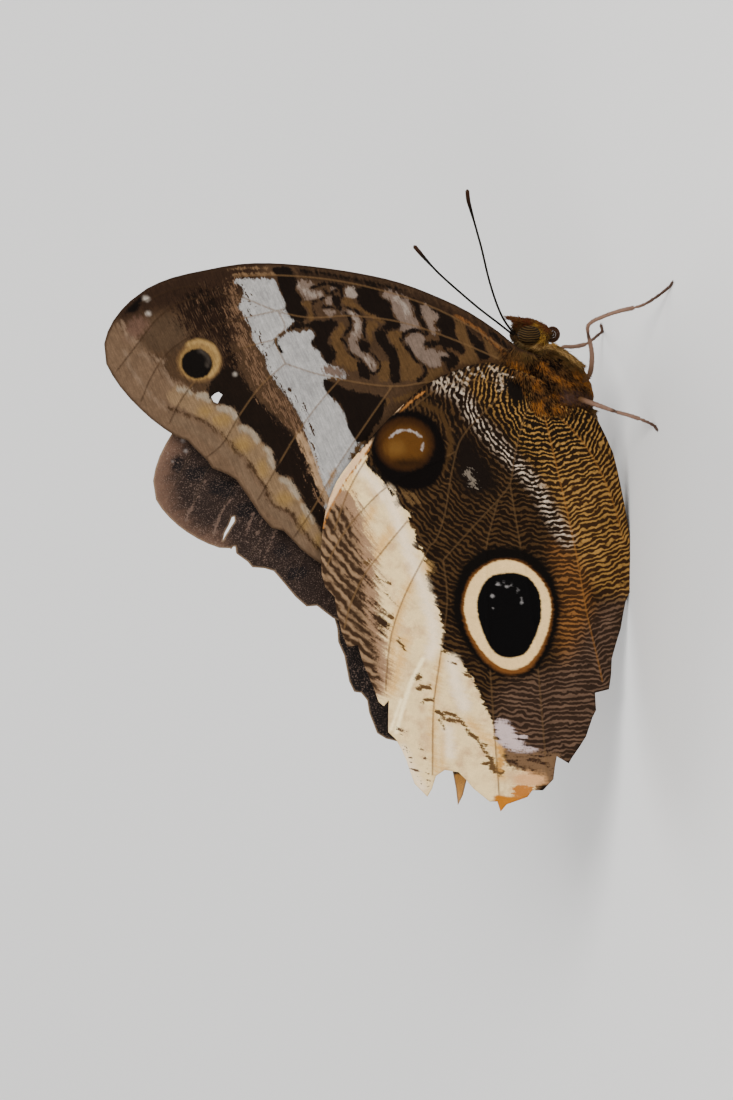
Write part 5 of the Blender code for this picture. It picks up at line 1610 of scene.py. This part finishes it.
class BUTTERFLY_OT_feelers(bpy.types.Operator):
    """Make both feelers and the coiled tongue"""

    bl_idname = "butterfly.feelers"
    bl_label = "Feelers and tongue"

    def execute(self, context):
        settings = context.scene.butterfly_body
        finish = Finish("feeler")
        grain = finish.noise(3000, 2, 0.6)
        end_share = finish.attribute("along").spread(0.86, 1.0)
        colour = finish.mix(settings.feeler, settings.feeler_tip, end_share)
        finish.bump(grain, 0.00002, 0.4)
        material = finish.done(finish.shaded(colour, 0.7 + grain * 0.6), 0.6, 0.04)
        ring = 0.00036
        for side, word in ((-1, "right"), (1, "left")):
            path = smooth_line(limb_line(ANTENNAE[word], side, 0.002), ring / 3)
            share = shares_of(path)
            club = np.clip((share - 0.80) / 0.14, 0, 1)
            end = np.clip((1 - share) / 0.012, 0.05, 1) ** 0.5
            joints = 1 + 0.10 * np.cos(2 * math.pi * share * round(len(path) / 3))
            piece = tube(f"feeler_{word}", path, (0.00020 + 0.00018 * club) * joints * end, 8)
            keep_number(piece.data, "along", share[nearest_on(path, vertex_places(piece.data))])
            piece.data.materials.append(material)
            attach(piece, "root")
            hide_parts(f"antenna_{word}")

        finish = Finish("tongue")
        grain = finish.noise(2600, 2, 0.6)
        finish.bump(grain, 0.00003, 0.4)
        material = finish.done(finish.shaded(settings.tongue, 0.6 + grain * 0.8), 0.6, 0.1)
        share = np.linspace(0, 1, 200)
        angle = 2 * math.pi * PROBOSCIS_TURNS * share + PROBOSCIS_START
        radius = PROBOSCIS_COIL * (1 - PROBOSCIS_TIGHTENING * share)
        coil = np.stack([np.cos(angle) * radius, 0 * radius, np.sin(angle) * radius], axis=1)
        path = np.array(in_view(*PROBOSCIS_CENTRE)) + coil
        radii = PROBOSCIS_RADIUS * (1 - 0.2 * share) * (1 + 0.06 * np.cos(share * 2 * math.pi * 50))
        piece = tube("tongue", path, radii, 8)
        piece.data.materials.append(material)
        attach(piece, "root")
        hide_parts("proboscis")
        return {"FINISHED"}


def leg_radii(share, knee, ankle):
    """Radius along a leg: a stout femur, a slim tibia and five short joints of the foot."""
    femur = 0.00046 * (1 - 0.35 * (share / knee) ** 3)
    tibia = 0.00030 * (1 + 0.25 * (share - knee) / (ankle - knee))
    foot_share = (share - ankle) / (1 - ankle)
    foot = 0.00026 * (0.80 + 0.28 * (foot_share * 5 % 1))
    radii = np.where(share < knee, femur, np.where(share < ankle, tibia, foot))
    waists = 0.25 * np.exp(-(((share - knee) / 0.012) ** 2)) + 0.2 * np.exp(-(((share - ankle) / 0.008) ** 2))
    ends = np.clip((1 - share) / 0.01, 0.3, 1) * np.clip(share / 0.14, 0.1, 1) ** 0.7
    return radii * (1 - waists) * ends


def make_leg(name, node, places, side, knee, ankle, material, draw):
    """A leg with claws, spurs and short hair."""
    path = smooth_line(limb_line(places, side, 0.0016), 0.00022)
    path[:, 2] = np.maximum(path[:, 2], 0.0002)
    share = shares_of(path)
    piece = tube(name, path, leg_radii(share, knee, ankle), 12)
    up = np.array((0, 0, 1))
    tip = path[-1]
    heading = unit(tip - path[-8])
    beside = unit(np.cross(heading, up))
    at = int(np.searchsorted(share, ankle))
    heel = path[at]
    along = unit(path[at + 3] - heel)
    extras = []
    for way in (-1, 1):
        claw = [
            path[-2], tip + heading * 0.00010 + beside * way * 0.00014,
            tip + heading * 0.00026 + beside * way * 0.00020 - up * 0.00010,
        ]
        extras.append(tube(f"{name} claw", claw, (0.00010, 0.00007, 0.00002), 6))
        out = np.cross(along, up) * way * 0.6 - up * 0.5
        spur = [heel, heel + along * 0.0003 + out * 0.00034, heel + along * 0.0007 + out * 0.00050]
        extras.append(tube(f"{name} spur", spur, (0.00012, 0.00008, 0.00002), 6))
    piece = join(piece, *extras)
    unwrap(piece)
    roots, normals, root_uv = scattered(piece, 14, draw)
    nearest = np.clip(nearest_on(path, roots), 1, None)
    lie = laid_flat(path[nearest] - path[nearest - 1], normals)
    shaggy = 1 + 2.2 * np.clip(1 - share[nearest] / 0.16, 0, 1)
    hair = grow_tufts(
        f"{name} hair", roots, normals, lie, 0.00036 * shaggy, 0.00006 * shaggy**0.5, 0.35, root_uv, draw
    )
    keep_number(piece.data, "tip", np.zeros(len(piece.data.vertices)))
    keep_number(piece.data, "tone", np.full(len(piece.data.vertices), 0.5))
    piece = join(piece, hair)
    nearest = nearest_on(path, vertex_places(piece.data))
    keep_number(piece.data, "along", np.interp(share[nearest], (0, knee, ankle, 1), (0, 1, 2, 3)))
    rest_on_floor(piece)
    piece.data.materials.clear()
    piece.data.materials.append(material)
    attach(piece, "root")
    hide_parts(node)


class BUTTERFLY_OT_legs(bpy.types.Operator):
    """Make the middle and hind legs"""

    bl_idname = "butterfly.legs"
    bl_label = "Legs"

    def execute(self, context):
        settings = context.scene.butterfly_body
        draw = np.random.default_rng(settings.seed + 1)
        finish = Finish("leg")
        along, tone, tip = finish.attribute("along"), finish.attribute("tone"), finish.attribute("tip")
        cloud = finish.noise(1800, 3, 0.6)
        off_knee = (along - 1).maths("ABSOLUTE").spread(0.02, 0.10)
        dark = along.spread(1.7, 2.6).maths("MAXIMUM", 1 - off_knee)
        colour = finish.mix(settings.hair_brown, settings.leg, along.spread(0.2, 0.75))
        colour = finish.mix(colour, settings.leg_dark, dark * 0.85)
        # Random tone, and leg hair darker towards its roots: painted shade in the hair
        colour = finish.shaded(colour, 0.6 + cloud * 0.5 + tone * 0.2 + tip * 0.2)
        finish.bump(finish.noise(9000, 2, 0.6), 0.00003, 0.5)
        material = finish.done(colour, 0.6, 0.15)
        for word, side in (("right", -1), ("left", 1)):
            make_leg(f"leg_mid_{word}", f"midleg_{word}", MIDLEGS[word], side, 0.38, 0.70, material, draw)
            make_leg(f"leg_hind_{word}", f"hindleg_{word}", HINDLEGS[word], side, 0.52, 0.76, material, draw)
        return {"FINISHED"}


def floor_finish(settings):
    finish = Finish("floor paint")
    cloud = finish.noise(2.2, 2, 0.5)
    pale = tuple(c * 0.94 for c in settings.floor)
    return finish.done(finish.mix(pale, settings.floor, cloud), 0.9)


def add_light(name, power, size, place, target):
    light = bpy.data.lights.new(name, "AREA")
    light.shape = "DISK"
    light.size = size
    light.energy = power
    made = add_object(name, light)
    made.location = target + Vector(place)
    made.rotation_euler = (-Vector(place)).to_track_quat("-Z", "Y").to_euler()


class BUTTERFLY_OT_stage(bpy.types.Operator):
    """Add the floor, the lights and the camera, which is turned with the animal"""

    bl_idname = "butterfly.stage"
    bl_label = "Stage"

    def execute(self, context):
        settings = context.scene.butterfly_stage
        bpy.ops.object.select_all(action="DESELECT")
        bpy.ops.mesh.primitive_plane_add(size=8, location=(0, 2.5, 0))
        floor = context.object
        floor.name = "floor"
        bpy.ops.object.transform_apply(location=True, rotation=True, scale=True)
        floor.data.materials.append(floor_finish(settings))

        target = in_view(PICTURE_WIDTH / 2, PICTURE_HEIGHT / 2)
        cos_e, sin_e = math.cos(VIEW_ELEVATION), math.sin(VIEW_ELEVATION)
        right = Vector((0, -sin_e, -cos_e))
        up = Vector((1, 0, 0))
        back = Vector((0, -cos_e, sin_e))
        data = bpy.data.cameras.new("camera")
        data.sensor_width = SENSOR
        data.lens = SENSOR * settings.distance / (PICTURE_HEIGHT * PIXEL)
        data.clip_start = 0.01
        data.clip_end = 50
        camera = add_object("camera", data)
        turned = Matrix((right, up, back)).transposed().to_4x4()
        camera.matrix_world = Matrix.Translation(target + back * settings.distance) @ turned
        context.scene.camera = camera

        wing_middle = in_view(400, 540)
        add_light("key", settings.key, 0.7, (0.55, -0.75, 0.75), wing_middle)
        add_light("fill", settings.fill, 0.9, (-0.5, -0.9, 0.45), wing_middle)
        add_light("back", settings.back, 0.8, (0.2, 0.95, 0.8), wing_middle)
        world = bpy.data.worlds.new("studio")
        world.use_nodes = True
        background = world.node_tree.nodes["Background"]
        background.inputs["Color"].default_value = (0.93, 0.95, 1.0, 1)
        background.inputs["Strength"].default_value = settings.sky
        context.scene.world = world
        return {"FINISHED"}


class BUTTERFLY_PT_panel(bpy.types.Panel):
    """Lists the pieces of the butterfly"""

    bl_idname = "BUTTERFLY_PT_panel"
    bl_label = "Owl butterfly"
    bl_space_type = "VIEW_3D"
    bl_region_type = "UI"
    bl_category = "Butterfly"

    def draw(self, context):
        for operator in OPERATORS:
            self.layout.operator(operator.bl_idname)


OPERATORS = (
    BUTTERFLY_OT_forewings, BUTTERFLY_OT_hindwings, BUTTERFLY_OT_body, BUTTERFLY_OT_eyes,
    BUTTERFLY_OT_feelers, BUTTERFLY_OT_legs, BUTTERFLY_OT_stage,
)
SETTINGS = {"butterfly_wings": WingSettings, "butterfly_body": BodySettings, "butterfly_stage": StageSettings}


def register():
    for kind in (*SETTINGS.values(), *OPERATORS, BUTTERFLY_PT_panel):
        bpy.utils.register_class(kind)
    for name, kind in SETTINGS.items():
        setattr(bpy.types.Scene, name, PointerProperty(type=kind))


def unregister():
    for name in SETTINGS:
        delattr(bpy.types.Scene, name)
    for kind in (BUTTERFLY_PT_panel, *reversed(OPERATORS), *reversed(SETTINGS.values())):
        bpy.utils.unregister_class(kind)


def main():
    register()
    for operator in OPERATORS:
        group, name = operator.bl_idname.split(".")
        getattr(getattr(bpy.ops, group), name)()


if __name__ == "__main__":
    main()
